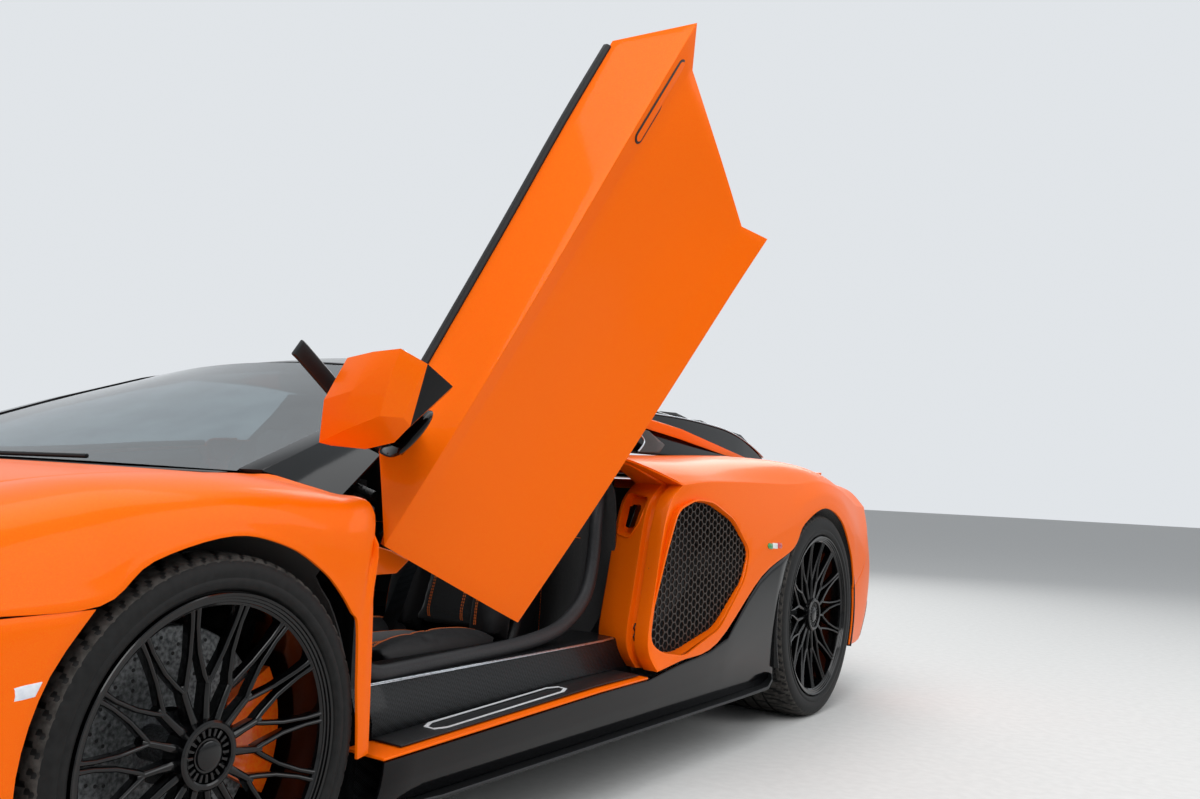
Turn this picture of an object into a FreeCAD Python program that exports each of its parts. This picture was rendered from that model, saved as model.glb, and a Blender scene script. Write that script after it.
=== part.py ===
import FreeCAD, Part, Sketcher
import math
import os

from FreeCAD import Vector

# Mid-engined two-seat supercar with scissor doors, the left one raised.
# +Y points to the rear, +X to the car's left, +Z up. The ground is z = 0.

doc = FreeCAD.newDocument("supercar")
sheet = doc.addObject("Spreadsheet::Sheet", "sizes")

SIZES = [
    # alias, value, what it is
    ("half_length", 2398.5, "bumper tip to mid-length"),
    ("front_flank", 85.0, "flank at the front wheels, outside the tub"),
    ("rear_flank", 110.0, "flank at the rear wheels, outside the tub"),
    ("front_axle_y", -1323.5, "front axle line"),
    ("wheelbase", 2700.0, "front to rear axle"),
    ("front_tyre_radius", 330.0, "outside of the tread"),
    ("front_tyre_width", 255.0, "section width"),
    ("front_rim_radius", 254.0, "bead seat"),
    ("rear_tyre_radius", 355.0, "outside of the tread"),
    ("rear_tyre_width", 355.0, "section width"),
    ("rear_rim_radius", 267.0, "bead seat"),
    ("wheel_inset", 5.0, "tyre's outer face inside the flank"),
    ("rim_flange", 13.0, "height of the rim's flange"),
    ("rim_wall", 7.0, "wall of the rim barrel"),
    ("rim_lip", 14.0, "width of the rim's flange"),
    ("bead_gap", 0.3, "between the tyre and its rim"),
    ("spoke_count", 15.0, "forked spokes"),
    ("spoke_depth", 26.0, "spoke along the axle"),
    ("spoke_width", 13.0, "width of a spoke"),
    ("fork_share", 0.5, "where a spoke forks, of its reach"),
    ("spoke_spread", 0.42, "fork's tips from the middle, of the pitch"),
    ("disc_bore", 112.0, "inside of the brake disc"),
    ("hub_radius", 62.0, "wheel centre"),
    ("cap_radius", 52.0, "centre lock"),
    ("disc_radius", 200.0, "front brake disc"),
    ("rear_disc_radius", 190.0, "rear brake disc"),
    ("disc_thickness", 36.0, "brake disc"),
    ("disc_inset", 130.0, "disc's outer face behind the wheel face"),
    ("spindle_radius", 30.0, "stub axle"),
    ("running_gap", 0.3, "at pins and shafts"),
    ("moving_gap", 5.0, "between pieces that move"),
    ("caliper_wall", 24.0, "caliper beside the disc"),
    ("kingpin_inset", 210.0, "steering axis inside the front wheel's face"),
    ("kingpin_radius", 22.0, "knuckle's post"),
    ("arch_front", 360.0, "wheel opening in the front fender"),
    ("arch_rear", 380.0, "wheel opening in the rear quarter"),
    ("panel_wall", 6.0, "body panel"),
    ("panel_gap", 4.0, "joint between panels"),
    ("floor_height", 118.0, "underside above the ground"),
    ("floor_wall", 8.0, "underfloor panel"),
    ("splitter_wall", 22.0, "splitter and the nose's seat on it"),
    ("tub_floor", 40.0, "thickness of the tub's floor"),
    ("tub_half_width", 905.0, "over the sills"),
    ("sill_inner", 640.0, "inner face of the sill"),
    ("sill_height", 372.0, "top of the sill"),
    ("tunnel_half_width", 150.0, "centre tunnel"),
    ("tunnel_height", 400.0, "top of the tunnel"),
    ("seat_gap", 40.0, "seat beside the tunnel"),
    ("cabin_front_y", -905.0, "wall behind the front wheels"),
    ("sill_end_y", 190.0, "rear end of the sills"),
    ("bulkhead_rear_y", 330.0, "rear wall of the cabin"),
    ("bulkhead_wall", 40.0, "wall of a bulkhead"),
    ("footwell_half_width", 540.0, "between the front wheels"),
    ("door_wall", 70.0, "thickness of a door"),
    ("door_angle", 68.3, "raised door"),
    ("hinge_y", -895.5, "door hinge"),
    ("hinge_z", 755.5, "door hinge"),
    ("hinge_pin", 10.0, "radius of the door's pin"),
    ("hinge_turn", 5.9, "hinge axis in plan"),
    ("hinge_fall", 17.8, "outer end of the hinge axis falls"),
    ("bonnet_hinge_z", 772.0, "height of the bonnet's hinge line"),
    ("cover_hinge_z", 1034.0, "height of the engine cover's hinge line"),
    ("glass_wall", 5.0, "windscreen"),
    ("mesh_wall", 6.0, "grille mesh"),
    ("mesh_pitch", 62.0, "grille cell"),
    ("skirt_height", 150.0, "lower lip of the skirt"),
    ("silencer_top", 400.0, "top of the silencer"),
    ("silencer_half", 220.0, "half the silencer's width"),
    ("pipe_radius", 52.0, "tail pipes"),
    ("pipe_wall", 5.0, "tail pipes"),
    ("footwell_reach", 216.5, "footwell ahead of the front axle"),
    ("inner_wall_height", 690.0, "walls of the footwell"),
    ("rail_x", 380.0, "rear frame's rails"),
    ("rail_width", 40.0, "rear frame's rails"),
    ("hinge_inset", 5.0, "door hinge inside the sill's face"),
    ("engine_length", 780.0, "engine block"),
    ("engine_width", 620.0, "engine block"),
    ("engine_height", 520.0, "engine block"),
    ("wheel_rim_radius", 172.0, "steering wheel"),
    ("wheel_rim_section", 14.0, "steering wheel's rim"),
]

for row, (alias, value, note) in enumerate(SIZES, start=1):
    sheet.set("A%d" % row, alias)
    sheet.set("B%d" % row, str(value))
    sheet.set("C%d" % row, note)
    sheet.setAlias("B%d" % row, alias)
doc.recompute()


def size(alias):
    return float(getattr(sheet, alias))


front_axle_y = size("front_axle_y")
rear_axle_y = front_axle_y + size("wheelbase")
hip = size("tub_half_width") + size("front_flank")
side = size("tub_half_width") + size("rear_flank")
nose = -size("half_length")
tail = size("half_length")
bulkhead_back = size("bulkhead_rear_y") + size("bulkhead_wall")
front_hub_z = size("front_tyre_radius")
rear_hub_z = size("rear_tyre_radius")
wall = size("panel_wall")
gap = size("panel_gap")
nodes = {}

# The tables of the body are drawn at these stations, and follow the sizes between them.
FRONT_LINE, REAR_LINE = -1323.5, 1376.5
ALONG = [
    # drawn y, where it is
    (-2398.5, nose), (FRONT_LINE - 360, front_axle_y - size("arch_front")),
    (FRONT_LINE + 360, front_axle_y + size("arch_front")), (-905, size("cabin_front_y")), (370, bulkhead_back),
    (REAR_LINE - 380, rear_axle_y - size("arch_rear")), (REAR_LINE + 380, rear_axle_y + size("arch_rear")),
    (2398.5, tail),
]
ACROSS = [
    # drawn distance from mid-plane, where it is
    (0, 0), (640, size("sill_inner")), (905, size("tub_half_width")), (1905, size("tub_half_width") + 1000),
]


def between(stations, drawn):
    """Where a drawn measure lies, between the two stations around it."""
    for (a, p), (b, q) in zip(stations, stations[1:]):
        if drawn <= b:
            break
    return p + (drawn - a) * (q - p) / (b - a)


def along(y):
    return between(ALONG, y)


def across(x):
    return math.copysign(between(ACROSS, abs(x)), x)


def fitted(rows):
    """A table of drawn points, moved to the body's present width and length."""
    return [[(across(x), along(y), z) for x, y, z in row] for row in rows]


def add(label, shape):
    """One sub-part of the document, named after its piece."""
    piece = doc.addObject("Part::Feature", label)
    piece.Label = label
    piece.Shape = shape
    nodes[label] = piece
    return piece


def named(kind, label, sizes=None, **settings):
    """An object of the document whose sizes are expressions of the sheet."""
    piece = doc.addObject(kind, label)
    for key, value in settings.items():
        setattr(piece, key, value)
    for key, text in (sizes or {}).items():
        piece.setExpression(key, text)
    return piece


def kept(piece):
    """A body or a primitive that is one sub-part of the car."""
    nodes[piece.Label] = piece
    return piece


def outline(body, label, role, corners, height=None):
    """A closed sketch on one of the body's planes, each corner held by two expressions."""
    sketch = body.newObject("Sketcher::SketchObject", label)
    sketch.AttachmentSupport = (next(part for part in body.Origin.OriginFeatures if part.Role == role), "")
    sketch.MapMode = "FlatFace"
    if height:
        sketch.setExpression("AttachmentOffset.Base.z", height)
    values = [[float(sketch.evalExpression(text)) for text in corner] for corner in corners]
    count = len(corners)
    for i in range(count):
        sketch.addGeometry(Part.LineSegment(Vector(*values[i], 0), Vector(*values[(i + 1) % count], 0)), False)
    for i in range(count):
        sketch.addConstraint(Sketcher.Constraint("Coincident", i, 2, (i + 1) % count, 1))
        for kind, value, text in zip(("DistanceX", "DistanceY"), values[i], corners[i]):
            held = sketch.addConstraint(Sketcher.Constraint(kind, i, 1, value))
            sketch.setExpression("Constraints[%d]" % held, text)
    return sketch


def grown(body, label, sketch, height):
    pad = body.newObject("PartDesign::Pad", label)
    pad.Profile = sketch
    pad.setExpression("Length", height)
    return pad


def spun(body, label, sketch):
    turn = body.newObject("PartDesign::Revolution", label)
    turn.Profile = sketch
    turn.ReferenceAxis = (sketch, ["H_Axis"])
    turn.Angle = 360
    return turn


def across_from(piece, label):
    """The same sub-part on the car's other side."""
    return named("Part::Mirroring", label, Source=piece, Normal=Vector(1, 0, 0), Base=Vector(0, 0, 0))


def box(x0, x1, y0, y1, z0, z1):
    return Part.makeBox(x1 - x0, y1 - y0, z1 - z0, Vector(x0, y0, z0))


def mirrored(shape):
    return shape.mirror(Vector(0, 0, 0), Vector(1, 0, 0))


def fused(shapes):
    shape = shapes[0].multiFuse(shapes[1:])
    return shape.removeSplitter()


def largest(shape):
    """What is left of a piece once its end is trimmed to the one it meets."""
    return max(shape.Solids, key=lambda solid: solid.Volume)


def inner_end(shape):
    """The piece next to the mid-plane."""
    return min(shape.Solids, key=lambda solid: solid.BoundBox.XMin)


def loose(shapes):
    """Solids that don't touch, kept in one node."""
    return Part.makeCompound(shapes)


def rod(start, end, radius):
    start = Vector(*start)
    end = Vector(*end)
    return Part.makeCylinder(radius, (end - start).Length, start, end - start)


def prism(points, direction):
    """A flat outline pushed along a direction."""
    corners = [Vector(*point) for point in points]
    face = Part.Face(Part.makePolygon(corners + corners[:1]))
    return face.extrude(Vector(*direction))


def eased(rows, steps):
    """More rows between the given ones, on a smooth curve through them."""
    out = []
    for index in range(len(rows) - 1):
        before = rows[max(index - 1, 0)]
        here = rows[index]
        there = rows[index + 1]
        after = rows[min(index + 2, len(rows) - 1)]
        for step in range(steps):
            s = step / steps
            row = []
            for a, b, c, d in zip(before, here, there, after):
                row.append(tuple(
                    0.5 * (2 * q + (r - p) * s + (2 * p - 5 * q + 4 * r - t) * s ** 2
                           + (3 * q - p - 3 * r + t) * s ** 3)
                    for p, q, r, t in zip(a, b, c, d)))
            out.append(row)
    out.append(rows[-1])
    return out


def turned(rows):
    """Rows become columns."""
    return [list(column) for column in zip(*rows)]


def facets(corners):
    shell = Part.Shell([Part.Face(Part.makePolygon([a, b, c, a])) for a, b, c in corners])
    solid = Part.Solid(shell)
    if solid.Volume < 0:
        solid.reverse()
    return solid


def skin(rows, thickness):
    """A panel: the outer surface through rows of points, and its wall inwards.

    The rows run so that the wall lies on the side of (row direction x column direction).
    """
    grid = [[Vector(*point) for point in row] for row in rows]
    count = len(grid)
    width = len(grid[0])
    inner = []
    for i in range(count):
        line = []
        for j in range(width):
            along = grid[min(i + 1, count - 1)][j] - grid[max(i - 1, 0)][j]
            across = grid[i][min(j + 1, width - 1)] - grid[i][max(j - 1, 0)]
            normal = along.cross(across)
            normal.normalize()
            line.append(grid[i][j] + normal * thickness)
        inner.append(line)
    corners = []

    def quad(a, b, c, d):
        corners.append((a, b, c))
        corners.append((a, c, d))

    for i in range(count - 1):
        for j in range(width - 1):
            quad(grid[i][j], grid[i][j + 1], grid[i + 1][j + 1], grid[i + 1][j])
            quad(inner[i][j], inner[i + 1][j], inner[i + 1][j + 1], inner[i][j + 1])
        quad(grid[i][0], grid[i + 1][0], inner[i + 1][0], inner[i][0])
        quad(grid[i + 1][-1], grid[i][-1], inner[i][-1], inner[i + 1][-1])
    for j in range(width - 1):
        quad(grid[0][j + 1], grid[0][j], inner[0][j], inner[0][j + 1])
        quad(grid[-1][j], grid[-1][j + 1], inner[-1][j + 1], inner[-1][j])
    return facets(corners)


def both(label, shape):
    """The left and the right piece, as two nodes."""
    add(label + "_left", shape)
    add(label + "_right", mirrored(shape))


def pair(shape):
    return loose([shape, mirrored(shape)])


def on_circle(axle_y, hub_z, radius, y):
    """Height of a wheel opening's upper edge at y."""
    return hub_z + math.sqrt(radius ** 2 - (y - axle_y) ** 2)


# Front fender: sections from the headlamp back over the wheel and down to the sill.
# Columns: bonnet edge, crown, shoulder and lower edge, each x, y, z.
def arch_lip(y):
    return (990, y, on_circle(front_axle_y, front_hub_z, size("arch_front"), along(y)))


fender_rows = [
    [(520, FRONT_LINE - 727, 600), (640, FRONT_LINE - 732, 640), (905, FRONT_LINE - 732, 625), (952, FRONT_LINE - 732, 585)],
    [(560, FRONT_LINE - 577, 650), (790, FRONT_LINE - 577, 690), (930, FRONT_LINE - 577, 670), (974, FRONT_LINE - 577, 590)],
    [(600, FRONT_LINE - 427, 700), (815, FRONT_LINE - 427, 735), (942, FRONT_LINE - 427, 700), (984, FRONT_LINE - 427, 593)],
    [(630, FRONT_LINE - 277, 742), (835, FRONT_LINE - 277, 765), (955, FRONT_LINE - 267, 722), arch_lip(FRONT_LINE - 246)],
    [(648, FRONT_LINE - 157, 765), (845, FRONT_LINE - 157, 780), (962, FRONT_LINE - 157, 745), arch_lip(FRONT_LINE - 157)],
    [(662, FRONT_LINE, 780), (850, FRONT_LINE, 787), (966, FRONT_LINE, 757), arch_lip(FRONT_LINE)],
    [(672, FRONT_LINE + 123, 785), (855, FRONT_LINE + 123, 784), (969, FRONT_LINE + 123, 752), arch_lip(FRONT_LINE + 123)],
    [(680, FRONT_LINE + 223, 787), (865, FRONT_LINE + 223, 776), (973, FRONT_LINE + 213, 740), arch_lip(FRONT_LINE + 208)],
    [(700, FRONT_LINE + 283, 787), (880, FRONT_LINE + 293, 762), (976, FRONT_LINE + 283, 731), arch_lip(FRONT_LINE + 255)],
    [(780, FRONT_LINE + 314, 779), (900, FRONT_LINE + 335, 748), (980, FRONT_LINE + 348, 722), arch_lip(FRONT_LINE + 290)],
    [(980, FRONT_LINE + 341, 690), (984, FRONT_LINE + 341, 650), (987, FRONT_LINE + 330, 600), arch_lip(FRONT_LINE + 308)],
    [(985, FRONT_LINE + 351, 560), (987, FRONT_LINE + 345, 525), (989, FRONT_LINE + 335, 480), (990, FRONT_LINE + 316, 400)],
    [(986, FRONT_LINE + 357, 400), (987, FRONT_LINE + 350, 385), (989, FRONT_LINE + 338, 360), (990, FRONT_LINE + 323, 330)],
    [(986, FRONT_LINE + 361, 275), (987, FRONT_LINE + 353, 273), (989, FRONT_LINE + 342, 272), (990, FRONT_LINE + 327, 270)],
]
fender = skin(fitted(turned(eased(turned(eased(fender_rows, 2)), 2))), wall)
both("front_fender", fender)

# Bonnet: from the nose back to the cowl, crowned across its width.
bonnet_rows = []
for y, edge_x, edge_z, rise in [
    # y from the front axle, half width, height at the edge, crown
    (-985, 300, 470, 6), (-877, 400, 535, 10), (-727, 516, 600, 14), (-577, 556, 650, 16),
    (-427, 596, 700, 16), (-277, 626, 742, 12), (-157, 644, 764, 6), (0, 658, 780, 4),
    (123, 668, 784, 4), (215, 672, 786, 4),
]:
    bonnet_rows.append([
        (edge_x * share, FRONT_LINE + y, edge_z + rise * (1 - share ** 2))
        for share in (-1, -0.66, -0.33, 0, 0.33, 0.66, 1)])
bonnet_skin = skin(fitted(bonnet_rows), wall)
bonnet_back = along(FRONT_LINE + 215)
hinge_line_z = size("bonnet_hinge_z")
bonnet_barrels = []
for x in (560, -560):
    eye = rod((x - 15, bonnet_back, hinge_line_z), (x + 15, bonnet_back, hinge_line_z), 11)
    bonnet_barrels.append(eye)
hinge_hole = rod((-600, bonnet_back, hinge_line_z), (600, bonnet_back, hinge_line_z), 5 + size("running_gap"))
add("bonnet", fused([bonnet_skin] + bonnet_barrels).cut(hinge_hole))


def beam(sections):
    """A solid through closed outlines that all have the same corners."""
    rings = [[Vector(*point) for point in section] for section in sections]
    corners = []
    count = len(rings[0])
    for a, b in zip(rings, rings[1:]):
        for i in range(count):
            j = (i + 1) % count
            corners.append((a[i], a[j], b[j]))
            corners.append((a[i], b[j], b[i]))
    for i in range(1, count - 1):
        corners.append((rings[0][0], rings[0][i + 1], rings[0][i]))
        corners.append((rings[-1][0], rings[-1][i], rings[-1][i + 1]))
    return facets(corners)


def whole(half_rows):
    """Rows from the left end to the middle, repeated on the right side."""
    other = [[(-x, y, z) for x, y, z in row] for row in half_rows[:-1]]
    return half_rows + other[::-1]


def through(outline, start, end):
    """A cutter through an outline given as x, z, from y = start to y = end."""
    return prism([(x, start, z) for x, z in outline], (0, end - start, 0))


def arc_y(radius, line, hub_z, z, way):
    """Drawn y of a wheel opening's edge at a height."""
    return line + way * math.sqrt(max(radius ** 2 - (z - hub_z) ** 2, 0))


# Front bumper: sections from the wheel opening round to the middle.
# Columns: top seam, upper, leading edge, lower, bottom.
splitter_top = size("floor_height") + size("splitter_wall")
chin = splitter_top - 3
bumper_rows = [
    [(988, arc_y(360, FRONT_LINE, 330, z, -1), z) for z in (588, 500, 400, 300, 190)],
    [(982, FRONT_LINE - 430, 584), (985, FRONT_LINE - 450, 500), (986, FRONT_LINE - 470, 400), (982, FRONT_LINE - 475, 300), (975, FRONT_LINE - 455, 185)],
    [(966, FRONT_LINE - 610, 580), (968, FRONT_LINE - 650, 490), (965, FRONT_LINE - 690, 400), (958, FRONT_LINE - 690, 300), (945, FRONT_LINE - 670, 165)],
    [(935, FRONT_LINE - 740, 572), (925, FRONT_LINE - 800, 480), (905, FRONT_LINE - 850, 400), (895, FRONT_LINE - 850, 300), (885, FRONT_LINE - 830, chin)],
    [(660, FRONT_LINE - 822, 545), (720, FRONT_LINE - 920, 460), (730, FRONT_LINE - 960, 390), (735, FRONT_LINE - 950, 300), (740, FRONT_LINE - 930, chin)],
    [(430, FRONT_LINE - 990, 488), (450, FRONT_LINE - 1010, 430), (460, FRONT_LINE - 1035, 370), (460, FRONT_LINE - 1025, 280), (460, FRONT_LINE - 1000, chin)],
    [(0, FRONT_LINE - 1014, 460), (0, -2398.5, 400), (0, -2394.5, 340), (0, -2382.5, 270), (0, -2368.5, chin)],
]
bumper = skin(fitted(whole(bumper_rows)), -wall)
side_intake = [(380, 215), (640, 195), (850, 235), (868, 400), (720, 380), (470, 330)]
centre_intake = [(-300, 175), (300, 175), (250, 290), (-250, 290)]
side_intake = [(across(x), z) for x, z in side_intake]
cutters = [through(side_intake, nose - 50, along(-1923.5)), through(centre_intake, nose - 50, along(-2223.5))]
cutters.append(mirrored(cutters[0]))
cutters.append(box(-side, side, nose - 20, along(-1823.5), splitter_top - 40, splitter_top))
front_bumper = bumper.cut(Part.makeCompound(cutters))
add("front_bumper", front_bumper)

# Splitter: a flat blade under the nose.
def ahead(share):
    """Expression: y of a point that far from the front wheel opening to the nose."""
    return "sizes.front_axle_y - sizes.arch_front - %g * (sizes.half_length + sizes.front_axle_y - sizes.arch_front)" % share


splitter_half = [("sizes.tub_half_width + 50", ahead(0.084)), ("sizes.tub_half_width + 35", ahead(0.4615)),
                 ("sizes.tub_half_width - 15", ahead(0.6783)), ("0.82 * sizes.tub_half_width", ahead(0.8182)),
                 ("0.51 * sizes.tub_half_width", ahead(0.9161)), ("0", "-sizes.half_length")]
splitter_half += [("-(%s)" % x, y) for x, y in splitter_half[-2::-1]]
splitter_half += [("-0.77 * sizes.tub_half_width", ahead(0.084)), ("-sizes.footwell_half_width", ahead(0.3916)),
                  ("sizes.footwell_half_width", ahead(0.3916)), ("0.77 * sizes.tub_half_width", ahead(0.084))]
splitter = named("PartDesign::Body", "splitter")
splitter_plan = outline(splitter, "splitter_plan", "XY_Plane", splitter_half, "sizes.floor_height")
grown(splitter, "splitter_blade", splitter_plan, "sizes.splitter_wall - sizes.running_gap")
kept(splitter)


def honeycomb(plate, centre, across, up, normal, columns, rows_up):
    """A plate with six-sided holes, pushed through along its normal."""
    pitch = size("mesh_pitch")
    radius = 0.5 * pitch * 0.86
    centre, across, up, normal = Vector(*centre), Vector(*across), Vector(*up), Vector(*normal)
    depth = normal * 60
    holes = []
    for column in range(-columns, columns + 1):
        for row in range(-rows_up, rows_up + 1):
            shift = pitch * 0.5 * (column % 2)
            middle = centre + across * (column * pitch * 0.866) + up * (row * pitch + shift)
            ring = []
            for corner in range(6):
                angle = math.radians(60 * corner)
                ring.append(middle + across * (radius * math.cos(angle)) + up * (radius * math.sin(angle)) - depth)
            face = Part.Face(Part.makePolygon(ring + ring[:1]))
            holes.append(face.extrude(depth * 2))
    return plate.cut(Part.makeCompound(holes))


mesh_y = along(-2083.5)
grille_outline = [(400, splitter_top), (840, splitter_top), (850, 410), (720, 395), (470, 345)]
grille_outline = [(across(x), z) for x, z in grille_outline]
grille = honeycomb(through(grille_outline, mesh_y, mesh_y + size("mesh_wall")), (630, mesh_y, 290),
                   (1, 0, 0), (0, 0, 1), (0, 1, 0), 3, 1)
add("front_grilles", pair(grille))

# Headlamps: a lens that fills the corner between the fender, the bonnet and the bumper.
lamp_rows = [
    [(528, FRONT_LINE - 739, 602), (645, FRONT_LINE - 742, 636), (890, FRONT_LINE - 742, 620), (930, FRONT_LINE - 740, 592)],
    [(412, FRONT_LINE - 885, 535), (570, FRONT_LINE - 850, 575), (790, FRONT_LINE - 800, 590), (925, FRONT_LINE - 750, 583)],
    [(318, FRONT_LINE - 995.5, 481.5), (432, FRONT_LINE - 989, 489), (661, FRONT_LINE - 821.5, 546), (915, FRONT_LINE - 745.5, 571)],
]
add("headlamps", pair(skin(fitted(lamp_rows), -18)).cut(front_bumper))

# Cowl: the black strip under the windscreen, with the wiper on it.
cowl_front = bonnet_back + 24
cowl_top = hinge_line_z + 15
cowl_half = across(664)
cowl_rows = [[(x, cowl_front, cowl_top), (x, cowl_front + 26, cowl_top + 3)]
             for x in (cowl_half, cowl_half / 2, 0, -cowl_half / 2, -cowl_half)]
cowl = skin(cowl_rows, 12)
arm = rod((-330, cowl_front + 10, cowl_top - 7), (-330, cowl_front + 10, cowl_top + 19), 8)
blade = rod((-330, cowl_front + 10, cowl_top + 13), (240, cowl_front + 14, cowl_top + 19), 5)
cowl_parts = [cowl, arm, blade]
for x in (560, -560):
    cowl_parts.append(rod((x - 20, bonnet_back, hinge_line_z), (x + 20, bonnet_back, hinge_line_z), 5))
    cowl_parts.append(box(x + 19, x + 30, bonnet_back - 6, cowl_front + 10, hinge_line_z - 8, hinge_line_z + 4))
    cowl_parts.append(box(x + 19, x + 30, cowl_front + 1, cowl_front + 12, hinge_line_z - 8, hinge_line_z + 8))
add("cowl", fused(cowl_parts))

# Windscreen: crowned glass. Columns: y at the edge, bow forwards, z at the edge, rise, half width.
screen_rows = []
for y, bow, z, rise, half in [(-1045, 12, 792, 4, 673.3), (-800, 20, 880, 18, 647.3),
                              (-560, 20, 966, 32, 607.3), (-330, 15, 1042, 45, 552.3)]:
    screen_rows.append([(half * s, y - bow * (1 - s ** 2), z + rise * (1 - s ** 2))
                        for s in (-1, -0.5, 0, 0.5, 1)])
screen = skin(fitted(screen_rows), size("glass_wall"))
quarter_glass = skin(fitted([[(716.8, -1018, 794), (900, -985, 754)], [(707, -800, 880), (842, -815, 838)]]),
                     size("glass_wall"))
add("glazing", loose([screen, quarter_glass, mirrored(quarter_glass)]))

# Screen frame: two pillars and the header.
pillar = beam(fitted([
    [(674, -1040, 796), (716, -1014, 796), (712, -1008, 758), (670, -1034, 765)],
    [(648, -800, 884), (706, -796, 880), (702, -790, 850), (645, -796, 852)],
    [(608, -560, 970), (664, -556, 964), (660, -550, 934), (606, -556, 938)],
    [(553, -330, 1046), (606, -325, 1040), (600, -320, 1010), (550, -326, 1012)],
    [(540, -292, 1056), (595, -288, 1050), (590, -284, 1020), (538, -288, 1022)],
]))
header = beam(fitted([[(x, -322, z), (x, -282, z + 6), (x, -282, z - 24), (x, -322, z - 26)]
                      for x, z in [(560, 1042), (300, 1076), (0, 1088), (-300, 1076), (-560, 1042)]]))
add("screen_frame", fused([header, pillar, mirrored(pillar)]))

# Roof: a crowned black panel from the header to the engine bay.
roof_rows = []
for y, z, rise, half in [(-281.7, 1056, 40, 560), (-60, 1068, 62, 566), (160, 1068, 68, 562), (400, 1050, 60, 545)]:
    roof_rows.append([(half * s, y, z + rise * (1 - s ** 2)) for s in (-1, -0.6, 0, 0.6, 1)])
add("roof", skin(fitted(roof_rows), 12))

# Rear quarter: sections from the door's rear edge back over the wheel to the tail.
# Columns: inner top, crown, shoulder, flank, middle, crease, lower edge.
def rear_lip(y, x=1015):
    return (x, y, on_circle(rear_axle_y, rear_hub_z, size("arch_rear"), along(y)))


quarter_rows = [
    [(690, 150, 872), (853, 192, 862), (981, 311, 798), (971, 243, 727), (985, 162, 520), (1001, 104, 372), (1020, 128, 302)],
    [(700, 420, 880), (885, 450, 862), (985, 470, 812), (992, 420, 712), (996, 350, 520), (1006, 280, 385), (1012, 280, 314)],
    [(705, 680, 888), (893, 690, 872), (988, 690, 815), (1000, 640, 712), (1006, 600, 530), (1008, 540, 420), (1010, 520, 340)],
    [(705, 880, 896), (898, 880, 880), (990, 880, 815), (1005, 860, 720), (1012, 850, 630), (1012, 840, 580), (1012, 830, 520)],
    [(703, REAR_LINE - 306, 902), (902, REAR_LINE - 306, 886), (992, REAR_LINE - 311, 815), (1008, REAR_LINE - 314, 740), (1014, REAR_LINE - 312, 690), (1015, REAR_LINE - 305, 640), rear_lip(REAR_LINE - 290)],
    [(702, REAR_LINE - 156, 905), (903, REAR_LINE - 156, 888), (992, REAR_LINE - 166, 820), (1010, REAR_LINE - 176, 765), (1014, REAR_LINE - 186, 730), (1015, REAR_LINE - 191, 705), rear_lip(REAR_LINE - 196)],
    [(705, REAR_LINE + 24, 900), (900, REAR_LINE + 24, 882), (990, REAR_LINE + 14, 828), (1010, REAR_LINE + 6, 790), (1014, REAR_LINE + 3, 765), (1015, REAR_LINE + 1, 750), rear_lip(REAR_LINE)],
    [(715, REAR_LINE + 244, 885), (890, REAR_LINE + 234, 862), (982, REAR_LINE + 214, 808), (1005, REAR_LINE + 202, 765), (1012, REAR_LINE + 194, 728), (1014, REAR_LINE + 189, 708), rear_lip(REAR_LINE + 184)],
    [(730, REAR_LINE + 424, 868), (872, REAR_LINE + 414, 838), (968, REAR_LINE + 394, 770), (995, REAR_LINE + 369, 695), (1005, REAR_LINE + 349, 640), (1008, REAR_LINE + 332, 605), rear_lip(REAR_LINE + 314, 1010)],
    [(740, REAR_LINE + 574, 850), (858, REAR_LINE + 564, 815), (950, REAR_LINE + 539, 740), (982, REAR_LINE + 494, 640), (995, REAR_LINE + 444, 560), (1002, REAR_LINE + 404, 515), rear_lip(REAR_LINE + 363, 1007)],
    [(745, REAR_LINE + 744, 832), (850, REAR_LINE + 734, 798), (925, REAR_LINE + 704, 735), (962, REAR_LINE + 644, 640), (982, REAR_LINE + 574, 550), (992, REAR_LINE + 504, 490), rear_lip(REAR_LINE + 373, 1003)],
]
first = quarter_rows[0]
jamb = [(first[0][0] - 30, first[0][1] + 25, first[0][2])] + [(x - 110, y + 25, z) for x, y, z in first[1:]]
quarter = skin(fitted([jamb] + quarter_rows), wall)
intake = [(210, 395), (310, 322), (460, 330), (640, 420), (800, 545), (840, 590), (740, 672), (610, 745), (500, 757), (390, 722), (320, 670), (250, 530)]


def intake_prism(grow, x0, x1):
    wire = Part.makePolygon([Vector(x0, along(y), z) for y, z in intake + intake[:1]])
    if grow:
        wire = wire.makeOffset2D(grow)
    return Part.Face(wire).extrude(Vector(x1 - x0, 0, 0))


mesh_x = across(950)
mesh_back = mesh_x + size("mesh_wall") + size("running_gap")
duct = intake_prism(8, mesh_back, across(1004)).cut(intake_prism(0, mesh_x, across(1020)))
inner_jamb = skin(fitted([
    [(x - 190, y + 60, z) for x, y, z in first[2:5]] + [(809, 170, 388)],
    [(x - 104, y + 23, z) for x, y, z in first[2:5]] + [(895, 133, 388)],
]), wall)
quarter = fused([quarter.cut(intake_prism(0, mesh_x, across(1040))), duct, inner_jamb])
both("rear_quarter", quarter)
intake_plate = intake_prism(8, mesh_x, mesh_x + size("mesh_wall"))
intake_mesh = honeycomb(intake_plate, (mesh_x, 525, 540), (0, 1, 0), (0, 0, 1), (1, 0, 0), 5, 3)
add("intake_meshes", pair(intake_mesh))

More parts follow.
